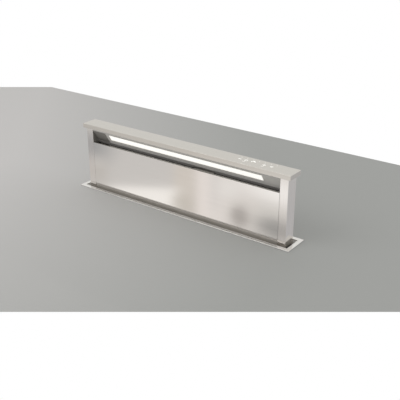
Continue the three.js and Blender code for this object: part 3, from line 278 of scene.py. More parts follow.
def make_block(name, low, high):
    """A plain block between two corners, to be shaped further."""
    bpy.ops.mesh.primitive_cube_add(size=1)
    block = bpy.context.active_object
    block.name = name
    low, high = Vector(low), Vector(high)
    block.data.transform(Matrix.Diagonal((*(high - low), 1)))
    block.data.transform(Matrix.Translation((low + high) / 2))
    return block


def make_rod(name, radius, low, high, sides, centre=(0, 0)):
    """A plain rod along Z between two heights, round or many sided."""
    bpy.ops.mesh.primitive_cylinder_add(vertices=sides, radius=radius, depth=high - low)
    rod = bpy.context.active_object
    rod.name = name
    rod.data.transform(Matrix.Translation((*centre, (low + high) / 2)))
    return rod


def sink(piece, rim, depth):
    """Sinks the top of a small head inside its rim."""
    facing(piece, (0, 0, 1))
    bpy.ops.mesh.inset(thickness=rim)
    bpy.ops.mesh.extrude_region_move(TRANSFORM_OT_translate={"value": (0, 0, -depth)})
    stop_editing()


galvanised = finish(
    "galvanised_sheet", spangle, {"Cells": 130.0}, (160, 164, 166), (184, 188, 189),
    (0.4, 0.52), 0.00002, (208, 210, 210), metallic=0.85,
)
zinc_bright = finish(
    "bright_zinc", spangle, {"Cells": 700.0}, (168, 171, 174), (196, 199, 202),
    (0.26, 0.4), 0.00001, (222, 224, 225), metallic=1.0,
)

for casing_sheet in ("front", "back", "left", "right", "bottom"):
    formed("casing_" + casing_sheet, 0.0003, galvanised)

CASING_FACE = 0.039
BEAD_RISE = 0.0015
BEAD_SLOPE = 0.003
BEAD_FOOT = 0.0001

# Name, lowest and highest (x, z) corner, and the front (-1) or back (+1) sheet.
CASING_BEADS = [
    ("front_bead_left", (-0.42, -0.212), (-0.17, -0.2), -1),
    ("front_bead_right", (0.17, -0.212), (0.42, -0.2), -1),
    ("front_bead_high", (-0.42, -0.102), (0.42, -0.09), -1),
    ("back_bead_high", (-0.42, -0.142), (0.42, -0.13), 1),
    ("back_bead_low", (-0.42, -0.402), (0.42, -0.39), 1),
]


def make_stiffener(name, low, high, side):
    """A long pressed bead with sloping sides."""
    near, far = sorted((side * CASING_FACE, side * (CASING_FACE + BEAD_RISE)))
    bead = make_block(name, (low[0], near, low[1]), (high[0], far, high[1]))
    facing(bead, (0, side, 0))
    bpy.ops.mesh.inset(thickness=BEAD_SLOPE)
    stop_editing()
    for corner in bead.data.vertices:
        outer = min(abs(corner.co.x - low[0]), abs(corner.co.x - high[0])) < TINY
        if outer and abs(corner.co.y) > CASING_FACE + BEAD_RISE / 2:
            corner.co.y = side * (CASING_FACE + BEAD_FOOT)
    harden(bead, 0.0007, 3, 15)
    return bead


for bead_name, bead_low, bead_high, bead_side in CASING_BEADS:
    bead = make_stiffener(bead_name, bead_low, bead_high, bead_side)
    attach(bead, "housing", galvanised)

RIVET_X = 0.4385
RIVET_HEIGHTS = [-0.035 - 0.075 * step for step in range(8)]


def make_rivet():
    """A blind rivet's low round head, with the hole that its pin leaves."""
    rivet = make_rod("rivet", radius=0.0032, low=0, high=0.0012, sides=20)
    sink(rivet, rim=0.0017, depth=0.0009)
    harden(rivet, 0.0004, 2, 50)
    return rivet


rivet_shape = make_rivet()
casing_rivets = repeated(
    rivet_shape,
    "casing_rivets",
    [
        ((side * RIVET_X, face * CASING_FACE, height), (0, face, 0))
        for side in (-1, 1)
        for face in (-1, 1)
        for height in RIVET_HEIGHTS
    ],
)
attach(casing_rivets, "housing", zinc_bright)

# ---------------------------------------------------------------------------
# Clamps and wall brackets: bent zinc plated strip. A threaded rod with a pad
# presses each clamp up against the worktop, and the wall brackets are screwed
# to the back of the casing and to the wall.
# ---------------------------------------------------------------------------

SIDES = {"left": -1, "right": 1}
BRACKET_SCREWS_X = (0.342, 0.368)
BRACKET_SCREWS_Z = (-0.537, -0.522)
BRACKET_FACE_Y = 0.0413
CLAMP_SCREWS_Y = (-0.009, 0.009)
CLAMP_SCREWS_Z = (-0.068, -0.088)
CLAMP_FACE_X = 0.4494


def make_disc(name, radius, low, high, edge, sides=40):
    """A turned disc or rod along Z with rounded edges."""
    disc = make_rod(name, radius, low, high, sides)
    harden(disc, edge, 2, 40)
    return disc


def make_thread(name, start, length, core, crest, lead, steps):
    """A threaded rod along +Z: one ridge wound round a core, and the core itself."""
    bpy.ops.mesh.primitive_plane_add()
    ridge = bpy.context.active_object
    # Radius and share of the lead of the ridge's corners. Its root lies just inside the core.
    root = core * 0.96
    corners = {0: (root, 0.08), 1: (crest, 0.36), 3: (crest, 0.64), 2: (root, 0.92)}
    for index, (radius, share) in corners.items():
        ridge.data.vertices[index].co = (radius, 0, start + lead * share)
    apply_modifier(
        ridge,
        "SCREW",
        angle=2 * pi,
        screw_offset=lead,
        iterations=int(length / lead) - 1,
        steps=steps,
        render_steps=steps,
        use_normal_calculate=True,
    )
    edit_all(ridge)
    bpy.ops.mesh.fill_holes(sides=4)
    stop_editing()
    shank = make_rod("shank", core, start, start + length, 24)
    harden(shank, 0.0004)
    threaded = joined(name, [shank, ridge])
    edit_all(threaded)
    bpy.ops.mesh.normals_make_consistent(inside=False)
    stop_editing()
    bpy.ops.object.shade_smooth_by_angle(angle=radians(40))
    return threaded


def make_clamp_screw(name):
    """A clamp's threaded rod, with its pad, its nut and its six sided head."""
    rod = make_thread("rod", start=-0.062, length=0.0295, core=0.0026, crest=0.003, lead=0.001, steps=12)
    pad = make_disc("pad", radius=0.008, low=-0.0325, high=-0.03, edge=0.0005)
    head = make_disc("head", radius=0.0079, low=-0.0638, high=-0.0613, edge=0.0004, sides=6)
    nut = make_disc("nut", radius=0.0055, low=-0.058, high=-0.0535, edge=0.0004, sides=6)
    return joined(name, [rod, pad, head, nut])


def make_hex_screw():
    """A sheet metal screw's head: a hexagon on a pressed washer."""
    washer = make_disc("washer", radius=0.0048, low=0, high=0.0008, edge=0.0003, sides=24)
    hexagon = make_disc("hexagon", radius=0.0036, low=0.0006, high=0.0042, edge=0.0004, sides=6)
    return joined("hex_screw", [washer, hexagon])


def onto(node):
    """The move along X that takes a piece modelled at the origin onto its node's middle."""
    low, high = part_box(node)
    return Matrix.Translation(((low.x + high.x) / 2, 0, 0))


for side_name in SIDES:
    formed("clamp_bracket_" + side_name, 0.0006, zinc_bright)
    formed("wall_bracket_" + side_name, 0.0004, zinc_bright)
    clamp_screw = make_clamp_screw("clamp_screw_%s_threaded" % side_name)
    clamp_screw.data.transform(onto("clamp_screw_" + side_name))
    attach(clamp_screw, "housing", zinc_bright)
    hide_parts("clamp_screw_" + side_name)

hex_screw = make_hex_screw()
bracket_places = [
    ((side * x, BRACKET_FACE_Y, z), (0, 1, 0))
    for side in (-1, 1)
    for x in BRACKET_SCREWS_X
    for z in BRACKET_SCREWS_Z
]
bracket_places += [
    ((side * CLAMP_FACE_X, y, z), (side, 0, 0))
    for side in (-1, 1)
    for y in CLAMP_SCREWS_Y
    for z in CLAMP_SCREWS_Z
]
bracket_screws = repeated(hex_screw, "bracket_screws", bracket_places)
attach(bracket_screws, "housing", zinc_bright)

# ---------------------------------------------------------------------------
# Flange, gasket and wiper: a fine brushed stainless frame that lies on the
# worktop over a foam gasket. A rubber lip under it wipes the tower as it rises.
# ---------------------------------------------------------------------------


def make_brushing():
    """Fine parallel scratches, long along the direction whose stretch is small."""
    tree, given, out = effect(
        "brushing",
        [("Stretch", "Vector", (6.0, 300.0, 900.0))],
        [("Tone", "Float"), ("Relief", "Float")],
    )
    place = add(tree, "TexCoord").outputs["Object"]
    drawn = add(tree, "VectorMath", {0: place, 1: given["Stretch"]}, operation="MULTIPLY").outputs[0]
    fine = add(tree, "TexNoise", {"Vector": drawn, "Scale": 1.0, "Detail": 3.0, "Roughness": 0.6})
    broad = add(tree, "TexNoise", {"Vector": drawn, "Scale": 0.2, "Detail": 1.0})
    tone = add(tree, "Mix", {"Factor": 0.2, "A": fine.outputs["Fac"], "B": broad.outputs["Fac"]})
    tree.links.new(tone.outputs["Result"], out["Tone"])
    tree.links.new(fine.outputs["Fac"], out["Relief"])
    return tree


def make_grain():
    """The fine even grain of moulded plastic, rubber or foam."""
    tree, given, out = effect(
        "grain", [("Size", "Float", 900.0)], [("Tone", "Float"), ("Relief", "Float")]
    )
    place = add(tree, "TexCoord").outputs["Object"]
    fine = add(tree, "TexNoise", {"Vector": place, "Scale": given["Size"], "Detail": 3.0})
    broad = add(tree, "TexNoise", {"Vector": place, "Scale": 25.0, "Detail": 2.0})
    tone = add(tree, "Mix", {"Factor": 0.5, "A": fine.outputs["Fac"], "B": broad.outputs["Fac"]})
    tree.links.new(tone.outputs["Result"], out["Tone"])
    tree.links.new(fine.outputs["Fac"], out["Relief"])
    return tree


brushing = make_brushing()
grain = make_grain()

flange_steel = finish(
    "flange_steel", brushing, {"Stretch": (5.0, 900.0, 900.0)}, (220, 218, 215), (232, 230, 227),
    (0.16, 0.22), 0.000002, (246, 246, 242), metallic=0.72,
)
rubber = finish("rubber", grain, {"Size": 1500.0}, (84, 83, 81), (100, 99, 96), (0.65, 0.85), 0.00004)
liner_plastic = finish(
    "liner_plastic", grain, {"Size": 1200.0}, (226, 224, 219), (236, 234, 230), (0.5, 0.62), 0.00002
)
foam = finish("foam", grain, {"Size": 700.0}, (34, 35, 36), (58, 59, 60), (0.85, 1.0), 0.0003)

formed("counter_flange", 0.0006, flange_steel, 3)
formed("flange_gasket", 0.0002, foam)
formed("wiper_seal", 0.0008, rubber, 3)

LINER_CORNER = Vector((0.4431, 0.0345, -0.0004))
LINER_BOTTOM = -0.0182
LINER_WALL = 0.0004


def make_liner():
    """The pale strip that lines the slot under the flange, so that the tower never rubs on metal."""
    liner = make_block("slot_liner", (-LINER_CORNER.x, -LINER_CORNER.y, LINER_BOTTOM), LINER_CORNER)
    for direction in ((0, 0, 1), (0, 0, -1)):
        facing(liner, direction)
        bpy.ops.mesh.delete(type="FACE")
        stop_editing()
    apply_modifier(liner, "SOLIDIFY", thickness=LINER_WALL, offset=-1, use_even_offset=True)
    harden(liner, 0.00015)
    return liner


attach(make_liner(), "housing", liner_plastic)

# ---------------------------------------------------------------------------
# Tower: two folded pillars with the back panel, the front panel and the apron
# between them, all stainless steel with a fine brushed face.
# ---------------------------------------------------------------------------

panel_steel = finish(
    "panel_steel", brushing, {"Stretch": (3.0, 700.0, 700.0)}, (214, 211, 207), (224, 221, 217),
    (0.11, 0.15), 0.0000015, (244, 242, 238), metallic=1.0,
)
pillar_steel = finish(
    "pillar_steel", brushing, {"Stretch": (700.0, 700.0, 3.0)}, (214, 210, 206), (225, 221, 217),
    (0.13, 0.18), 0.0000015, (246, 245, 241), metallic=1.0,
)
apron_steel = finish(
    "apron_steel", brushing, {"Stretch": (4.0, 500.0, 500.0)}, (184, 179, 172), (193, 188, 181),
    (0.34, 0.42), 0.000002, (220, 217, 211), metallic=0.6,
)

for side_name in SIDES:
    formed("pillar_" + side_name, 0.0009, pillar_steel, 3)
formed("front_panel", 0.001, panel_steel, 3)
formed("back_panel", 0.0004, panel_steel)
formed("front_apron", 0.0004, apron_steel)

BACK_SCREW_X = 0.4155
BACK_SCREW_Y = 0.024
BACK_SCREW_HEIGHTS = (0.205, 0.115, 0.03, -0.06, -0.15)


def make_countersunk():
    """A countersunk screw's flat head with a round recess."""
    head = make_disc("countersunk", radius=0.0034, low=0, high=0.0005, edge=0.0002, sides=24)
    sink(head, rim=0.0014, depth=0.0004)
    return head


countersunk = make_countersunk()
back_screws = repeated(
    countersunk,
    "back_screws",
    [((side * BACK_SCREW_X, BACK_SCREW_Y, z), (0, 1, 0)) for side in (-1, 1) for z in BACK_SCREW_HEIGHTS],
)
attach(back_screws, "lift", zinc_bright)

# ---------------------------------------------------------------------------
# Cap: a folded stainless tray over the whole tower, with a row of touch
# symbols printed on its right half above the sensor. The print glows a little as painted light.
# ---------------------------------------------------------------------------

cap_steel = finish(
    "cap_steel", brushing, {"Stretch": (2.5, 650.0, 650.0)}, (199, 195, 189), (208, 204, 198),
    (0.18, 0.24), 0.000002, (240, 238, 232), metallic=1.0,
)
satin_steel = finish(
    "satin_steel", brushing, {"Stretch": (4.0, 500.0, 500.0)}, (164, 158, 152), (176, 170, 164),
    (0.3, 0.36), 0.000002, (205, 202, 196), metallic=0.8,
)
black_plastic = finish(
    "black_plastic", grain, {"Size": 1100.0}, (24, 25, 26), (38, 39, 40), (0.42, 0.58), 0.00003
)
# White print with a faint glow: the glow is painted light.
symbol_print_and_glow = finish(
    "symbol_print_and_glow", grain, {"Size": 1400.0}, (240, 239, 235), (252, 251, 247),
    (0.4, 0.5), 0.00001, emission_color=colour(255, 254, 250), emission_strength=0.4,
)

formed("top_cap", 0.0011, cap_steel, 3)
formed("cap_base", 0.0003, satin_steel)
formed("touch_module", 0.0004, black_plastic)

PRINT_HEIGHT = 0.24805
PRINT_THICKNESS = 0.00025
RING_STEPS = 24
DOT_SIDES = 12
DOT_RADIUS = 0.0011
DOT_PLACES = [(0.232 + 0.022 * step, 0.0185) for step in range(7)]


def make_bar(centre, size, turn=0.0):
    """A printed bar."""
    bpy.ops.mesh.primitive_cube_add(size=1)
    bar = bpy.context.active_object
    shape = Matrix.Rotation(turn, 4, "Z") @ Matrix.Diagonal((*size, PRINT_THICKNESS, 1))
    bar.data.transform(Matrix.Translation((*centre, PRINT_HEIGHT)) @ shape)
    return bar


def make_ring(centre, radius, width, start=0.0, end=360.0):
    """A printed ring, or a part of one, spun from its cross-section."""
    bpy.ops.mesh.primitive_plane_add(size=1)
    ring = bpy.context.active_object
    section = Matrix.Rotation(pi / 2, 4, "X") @ Matrix.Diagonal((width, PRINT_THICKNESS, 1, 1))
    first = Matrix.Rotation(radians(start), 4, "Z") @ Matrix.Translation((radius, 0, 0))
    ring.data.transform(first @ section)
    edit_all(ring)
    bpy.ops.mesh.delete(type="ONLY_FACE")
    bpy.ops.mesh.select_all(action="SELECT")
    bpy.ops.mesh.spin(steps=RING_STEPS, angle=radians(end - start), center=(0, 0, 0), axis=(0, 0, 1))
    bpy.ops.mesh.select_all(action="SELECT")
    bpy.ops.mesh.remove_doubles(threshold=TINY)
    bpy.ops.mesh.fill_holes(sides=4)
    bpy.ops.mesh.normals_make_consistent(inside=False)
    stop_editing()
    ring.data.transform(Matrix.Translation((*centre, PRINT_HEIGHT)))
    return ring


def make_dot(centre):
    """A printed dot."""
    half = PRINT_THICKNESS / 2
    return make_rod("dot", DOT_RADIUS, PRINT_HEIGHT - half, PRINT_HEIGHT + half, DOT_SIDES, centre)


touch_symbols = joined(
    "touch_symbols",
    [
        make_bar(centre=(0.2345, 0.002), size=(0.0115, 0.0026)),
        make_ring(centre=(0.2585, 0.002), radius=0.0052, width=0.0015),
        make_ring(centre=(0.285, 0.002), radius=0.0062, width=0.0032, start=200, end=400),
        make_bar(centre=(0.285, 0.0095), size=(0.0024, 0.006)),
        make_bar(centre=(0.327, 0.0), size=(0.0125, 0.0016)),
        make_bar(centre=(0.327, 0.0), size=(0.0016, 0.0125)),
        make_ring(centre=(0.354, 0.001), radius=0.0046, width=0.001),
        make_bar(centre=(0.354, 0.001), size=(0.0022, 0.0022), turn=radians(45)),
        *(make_dot(place) for place in DOT_PLACES),
        make_bar(centre=(0.256, -0.0105), size=(0.009, 0.0012)),
        make_bar(centre=(0.327, -0.0125), size=(0.009, 0.0012)),
    ],
)
attach(touch_symbols, "lift", symbol_print_and_glow)

# ---------------------------------------------------------------------------
# Light housing: a folded satin sheet whose slanted face holds one long frosted
# bar, lit from a narrow board behind it. End plates close its two ends; their dark
# colour is painted shade. A dark strip on the slant left of the bar is a painted dark
# reflection, and a dark foam strip under the slant is painted shade in the slot.
# ---------------------------------------------------------------------------

housing_steel = finish(
    "housing_steel", brushing, {"Stretch": (6.0, 400.0, 400.0)}, (204, 201, 196), (213, 210, 205),
    (0.42, 0.5), 0.000002, (226, 223, 217), metallic=0.04,
)
# Dark steel for the end plates and the strip left of the bar: its darkness is painted shade.
end_steel_painted_shade = finish(
    "end_steel_painted_shade", brushing, {"Stretch": (400.0, 6.0, 400.0)}, (126, 123, 118), (140, 137, 132),
    (0.5, 0.62), 0.000004, (160, 157, 152), metallic=0.3,
)
lamp_board = finish(
    "lamp_board", grain, {"Size": 1200.0}, (224, 224, 220), (238, 238, 235), (0.4, 0.5), 0.00001
)
# Dark foam for the strip under the slant: its darkness is painted shade in the slot.
painted_shade_foam = finish(
    "painted_shade_foam", grain, {"Size": 900.0}, (104, 101, 98), (120, 117, 113), (0.8, 0.95), 0.00005
)


def make_lit_plastic():
    """Frosted plastic, lit evenly from behind."""
    made = finish(
        "lit_bar", grain, {"Size": 1600.0}, (250, 248, 243), (255, 253, 249),
        (0.45, 0.55), 0.00001, emission_strength=0.56,
    )
    tree = made.node_tree
    warmth = add(tree, "Group", node_tree=handling).outputs["Cloud"]
    glow = between(tree, warmth, colour(255, 251, 244), colour(255, 254, 250))
    tree.links.new(glow, tree.nodes["Principled BSDF"].inputs["Emission Color"])
    return made


formed("light_housing", 0.0004, housing_steel)
formed("light_diffuser", 0.0004, make_lit_plastic())
formed("light_board", 0.0002, lamp_board)

# The (y, z) corners of the plates' ends, and where the plates start and end along X.
END_PLATE_OUTLINE = [
    (-0.0232, 0.2244),
    (-0.0232, 0.1798),
    (-0.0132, 0.1798),
    (-0.0132, 0.173),
    (0.0034, 0.173),
    (0.0034, 0.1822),
]
END_PLATE_INNER = 0.4011
END_PLATE_WALL = 0.0008
SHADE_STRIP_OUTLINE = [(-0.0232, 0.2248), (-0.0237, 0.2245), (0.0026, 0.1827), (0.0031, 0.183)]
SHADE_STRIP_RANGE = (-0.4006, -0.3405)
TAIL_SHADE_LOW = (-0.4008, 0.00375, 0.1729)
TAIL_SHADE_HIGH = (0.4008, 0.00398, 0.1813)


def make_section(name, outline, low, high, edge):
    """A plate or bar along X, from the (y, z) corners of its end."""
    bpy.ops.mesh.primitive_circle_add(vertices=len(outline), fill_type="NGON")
    section = bpy.context.active_object
    section.name = name
    for corner, (y, z) in zip(section.data.vertices, outline):
        corner.co = (low, y, z)
    edit_all(section)
    bpy.ops.mesh.extrude_region_move(TRANSFORM_OT_translate={"value": (high - low, 0, 0)})
    bpy.ops.mesh.select_all(action="SELECT")
    bpy.ops.mesh.normals_make_consistent(inside=False)
    stop_editing()
    harden(section, edge)
    return section


def make_strip(name, low, high, edge):
    """A thin flat strip with its long edges rounded."""
    strip = make_block(name, low, high)
    harden(strip, edge)
    return strip


for side_name, start in (("left", -END_PLATE_INNER - END_PLATE_WALL), ("right", END_PLATE_INNER)):
    end_plate = make_section(
        "housing_end_" + side_name, END_PLATE_OUTLINE, start, start + END_PLATE_WALL, 0.00025
    )
    attach(end_plate, "lift", end_steel_painted_shade)
# A dark strip on the slant left of the bar, at the left end only: a painted dark reflection.
shade_strip = make_section("lamp_end_painted_shade", SHADE_STRIP_OUTLINE, *SHADE_STRIP_RANGE, 0.00015)
attach(shade_strip, "lift", end_steel_painted_shade)
# A dark foam strip on the housing's lower edge: painted shade in the slot.
attach(make_strip("tail_painted_shade", TAIL_SHADE_LOW, TAIL_SHADE_HIGH, 0.00008), "lift", painted_shade_foam)

# ---------------------------------------------------------------------------
# Grease filters: two aluminium frames with layers of stretched mesh, standing
# in a folded channel behind the front panel. A clip keeps them from lifting.
# ---------------------------------------------------------------------------

filter_frame = finish(
    "filter_frame", brushing, {"Stretch": (8.0, 500.0, 500.0)}, (160, 163, 165), (188, 191, 193),
    (0.35, 0.48), 0.000006, (214, 216, 218), metallic=1.0,
)
stop_steel = finish(
    "stop_steel", brushing, {"Stretch": (6.0, 400.0, 400.0)}, (146, 143, 139), (162, 159, 155),
    (0.3, 0.4), 0.000005, (190, 187, 182), metallic=1.0,
)
stretched_aluminium = finish(
    "stretched_aluminium", grain, {"Size": 600.0}, (196, 199, 201), (220, 222, 224),
    (0.3, 0.44), 0.00001, metallic=1.0,
)
# Dark inner layers in each filter's core: partly the real mesh layers, partly painted shade of the
# filter's depth.
inner_layers_and_shade = finish(
    "inner_layers_and_shade", grain, {"Size": 500.0}, (70, 72, 74), (104, 107, 109),
    (0.5, 0.7), 0.0001, metallic=0.6,
)

MESH_CELLS = (44, 18)
MESH_WIRE = 0.0009
MESH_ENDS = (0.0098, 0.3888)
MESH_HEIGHTS = (0.0254, 0.1557)
MESH_DEPTH = 0.0029
LAYER_DEPTHS = (0.00205, 0.0023)


def stand_up(sheet, low, high, depth):
    """Stretches a unit sheet between two (x, z) corners and stands it upright at one depth."""
    sheet.data.transform(Matrix.Diagonal((high[0] - low[0], high[1] - low[1], 1, 1)))
    sheet.data.transform(Matrix.Rotation(pi / 2, 4, "X"))
    middle = ((low[0] + high[0]) / 2, depth, (low[1] + high[1]) / 2)
    sheet.data.transform(Matrix.Translation(middle))


def make_mesh(name, low, high, depth):
    """Stretched metal mesh: a lattice of thin diamonds that fills a frame."""
    bpy.ops.mesh.primitive_grid_add(x_subdivisions=MESH_CELLS[0], y_subdivisions=MESH_CELLS[1], size=1)
    lattice = bpy.context.active_object
    lattice.name = name
    edit_all(lattice)
    bpy.ops.mesh.poke()
    bpy.ops.mesh.select_mode(type="EDGE")
    bpy.ops.mesh.select_all(action="DESELECT")
    shape = bmesh.from_edit_mesh(lattice.data)
    for edge in shape.edges:
        run = edge.verts[1].co - edge.verts[0].co
        edge.select = min(abs(run.x), abs(run.y)) < TINY and not edge.is_boundary
    bmesh.update_edit_mesh(lattice.data)
    bpy.ops.mesh.dissolve_edges(use_verts=False)
    stop_editing()
    stand_up(lattice, low, high, depth)
    apply_modifier(lattice, "WIREFRAME", thickness=MESH_WIRE, use_even_offset=False)
    return lattice


formed("filter_channel", 0.0003, galvanised)
formed("filter_stop", 0.0004, stop_steel)
for side_name, side in SIDES.items():
    formed("filter_" + side_name, 0.0005, filter_frame)
    left, right = sorted(side * end for end in MESH_ENDS)
    bottom, top = MESH_HEIGHTS
    for face_name, face in (("front", -1), ("back", 1)):
        name_end = "%s_%s" % (side_name, face_name)
        layer = make_mesh("filter_mesh_" + name_end, (left, bottom), (right, top), face * MESH_DEPTH)
        attach(layer, "filter_" + side_name, stretched_aluminium)
        # A flat dark pad just inside each mesh layer: painted shade in the filter's core.
        near, far = sorted(face * depth for depth in LAYER_DEPTHS)
        pad = make_strip("filter_layers_and_shade_" + name_end, (left, near, bottom), (right, far, top), 0.00004)
        attach(pad, "filter_" + side_name, inner_layers_and_shade)

# ---------------------------------------------------------------------------
# Guides and lift drive: ball slides beside the pillars, two lead screws tied
# by a toothed belt, and a gear motor that turns the right one.
# ---------------------------------------------------------------------------

screw_steel = finish(
    "screw_steel", brushing, {"Stretch": (500.0, 500.0, 60.0)}, (138, 141, 144), (170, 173, 176),
    (0.2, 0.32), 0.000004, (204, 206, 208), metallic=1.0,
)
turned_brass = finish(
    "turned_brass", brushing, {"Stretch": (300.0, 300.0, 1400.0)}, (166, 130, 66), (196, 160, 92),
    (0.22, 0.36), 0.000006, (222, 192, 124), metallic=1.0,
)
turned_aluminium = finish(
    "turned_aluminium", brushing, {"Stretch": (300.0, 300.0, 1400.0)}, (168, 171, 174), (194, 197, 200),
    (0.28, 0.4), 0.000006, (218, 220, 222), metallic=1.0,
)
white_plastic = finish(
    "white_plastic", grain, {"Size": 1000.0}, (222, 222, 218), (236, 236, 232), (0.38, 0.5), 0.00002
)

SCREW_LEAD = 0.01225
RIDGE_PITCH = SCREW_LEAD / 2  # two starts, drawn as one ridge


def make_lead_screw(name):
    """A lead screw with its plain lower end, which the bearing holds."""
    thread = make_thread(
        "thread", start=-0.578, length=0.393, core=0.0049, crest=0.006, lead=RIDGE_PITCH, steps=20
    )
    stub = make_disc("stub", radius=0.004, low=-0.5882, high=-0.5775, edge=0.0004, sides=24)
    return joined(name, [thread, stub])


for side_name in SIDES:
    formed("slide_outer_" + side_name, 0.0003, zinc_bright)
    formed("slide_inner_" + side_name, 0.0003, zinc_bright)
    formed("ball_cage_" + side_name, 0.0001, screw_steel)
    formed("screw_bearing_" + side_name, 0.0006, zinc_bright)
    formed("lift_nut_" + side_name, 0.0005, turned_brass)
    formed("sync_pulley_" + side_name, 0.0003, turned_aluminium)
    lead_screw = make_lead_screw("lift_screw_%s_threaded" % side_name)
    lead_screw.data.transform(onto("lift_screw_" + side_name))
    attach(lead_screw, "screw_" + side_name, screw_steel)
    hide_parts("lift_screw_" + side_name)

formed("sync_belt", 0.0002, rubber)
formed("drive_gear", 0.0003, white_plastic)
formed("motor_pinion", 0.0002, turned_brass)
formed("lift_motor", 0.0008, zinc_bright)

# ---------------------------------------------------------------------------
# Blower: a box on the front of the casing with a screwed cover, a plastic
# scroll round a bladed wheel, and a round collar with a flap that falls shut.
# ---------------------------------------------------------------------------

grey_plastic = finish(
    "grey_plastic", grain, {"Size": 1000.0}, (98, 101, 103), (120, 123, 125), (0.42, 0.56), 0.00003
)
flap_aluminium = finish(
    "flap_aluminium", brushing, {"Stretch": (600.0, 600.0, 6.0)}, (170, 173, 176), (196, 199, 202),
    (0.3, 0.44), 0.000005, (220, 222, 224), metallic=1.0,
)

formed("blower_box", 0.0004, galvanised)
formed("scroll_housing", 0.0006, black_plastic)
formed("inlet_ring", 0.0004, zinc_bright)
formed("impeller", 0.0001, grey_plastic, 1)
formed("blower_motor", 0.0012, zinc_bright, 3)
formed("exhaust_collar", 0.0003, galvanised)
formed("damper_flap", 0.0003, flap_aluminium)

COVER_THICKNESS = 0.0012
COVER_RIM = 0.022
COVER_SCREWS = [(x, z) for x in (-0.14, 0.14) for z in (-0.58, -0.51, -0.435, -0.36, -0.29)]
COVER_SCREWS += [(x, z) for x in (-0.07, 0, 0.07) for z in (-0.58, -0.29)]
COLLAR_FACE_X = 0.1515
COLLAR_SCREWS = [(-0.194, -0.288), (-0.194, -0.438), (-0.045, -0.288), (-0.045, -0.438)]
SPIGOT_AXIS = (-0.1175, -0.363)
SPIGOT_BEADS_X = (0.268, 0.17)


def make_cover(node, name, rise):
    """A flat cover as pressed: broken outwards along its diagonals, so that it stays stiff."""
    bpy.ops.mesh.primitive_plane_add(size=1)
    cover = bpy.context.active_object
    cover.name = name
    low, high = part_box(node)
    stand_up(cover, (low.x, low.z), (high.x, high.z), low.y + COVER_THICKNESS)
    edit_all(cover)
    bpy.ops.mesh.inset(thickness=COVER_RIM)
    bpy.ops.mesh.select_mode(type="FACE")
    bpy.ops.mesh.poke(offset=rise)
    stop_editing()
    apply_modifier(cover, "SOLIDIFY", thickness=COVER_THICKNESS, offset=1)
    harden(cover, 0.0003, 2, 60)
    bpy.ops.object.shade_flat()
    attach(cover, "housing", galvanised)
    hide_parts(node)


def make_spigot_bead(x):
    """A rolled bead round the spigot, which keeps a hose from slipping off."""
    bpy.ops.mesh.primitive_torus_add(
        major_radius=0.0749, minor_radius=0.0014, major_segments=64, minor_segments=10
    )
    bead = bpy.context.active_object
    bead.data.transform(Matrix.Translation((x, *SPIGOT_AXIS)) @ Matrix.Rotation(pi / 2, 4, "Y"))
    bpy.ops.object.shade_smooth_by_angle(angle=radians(60))
    return bead


make_cover("blower_cover", "blower_cover_pressed", rise=0.003)
cover_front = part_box("blower_cover")[0].y
blower_places = [((x, cover_front, z), (0, -1, 0)) for x, z in COVER_SCREWS]
blower_places += [((COLLAR_FACE_X, y, z), (1, 0, 0)) for y, z in COLLAR_SCREWS]
blower_screws = repeated(hex_screw, "blower_screws", blower_places)
attach(blower_screws, "housing", zinc_bright)
spigot_beads = joined("spigot_beads", [make_spigot_bead(x) for x in SPIGOT_BEADS_X])
attach(spigot_beads, "housing", galvanised)

# ---------------------------------------------------------------------------
# Control box: a small folded box with a screwed lid, the circuit board inside
# it, and a gland in its underside for a mains lead.
# ---------------------------------------------------------------------------

solder_mask = finish(
    "solder_mask", grain, {"Size": 800.0}, (22, 74, 46), (34, 98, 62), (0.3, 0.42), 0.00002
)

formed("control_box", 0.0004, galvanised)
formed("control_board", 0.0004, solder_mask)
formed("cable_gland", 0.0006, black_plastic)

LID_SCREWS = [(x, z) for x in (-0.41, -0.31, -0.21) for z in (-0.391, -0.289)]

make_cover("control_box_lid", "control_lid_pressed", rise=0.0016)
lid_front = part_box("control_box_lid")[0].y
lid_screws = repeated(hex_screw, "lid_screws", [((x, lid_front, z), (0, -1, 0)) for x, z in LID_SCREWS])
attach(lid_screws, "housing", zinc_bright)

for master in (rivet_shape, hex_screw, countersunk):
    bpy.data.objects.remove(master)

# ---------------------------------------------------------------------------
# Floor: the pale grey worktop that the vent stands in, with its cut-out, on a
# white ground. From below it is clear, so that low views show the casing.
# ---------------------------------------------------------------------------

GROUND_HALF = 6
GROUND_DROP = 0.0006  # the white ground lies just under the worktop
BACK_EDGE = 0.884
CUT_OUT = (0.45, 0.042)
WORKTOP_CORNERS = [(-2.778, -2.868), (2.288, BACK_EDGE), (-1.641, BACK_EDGE), (-3.65, -0.604)]
GROUND_CORNERS = [
    (-GROUND_HALF, -GROUND_HALF),
    (GROUND_HALF, -GROUND_HALF),
    (GROUND_HALF, BACK_EDGE),
    (-GROUND_HALF, BACK_EDGE),
]


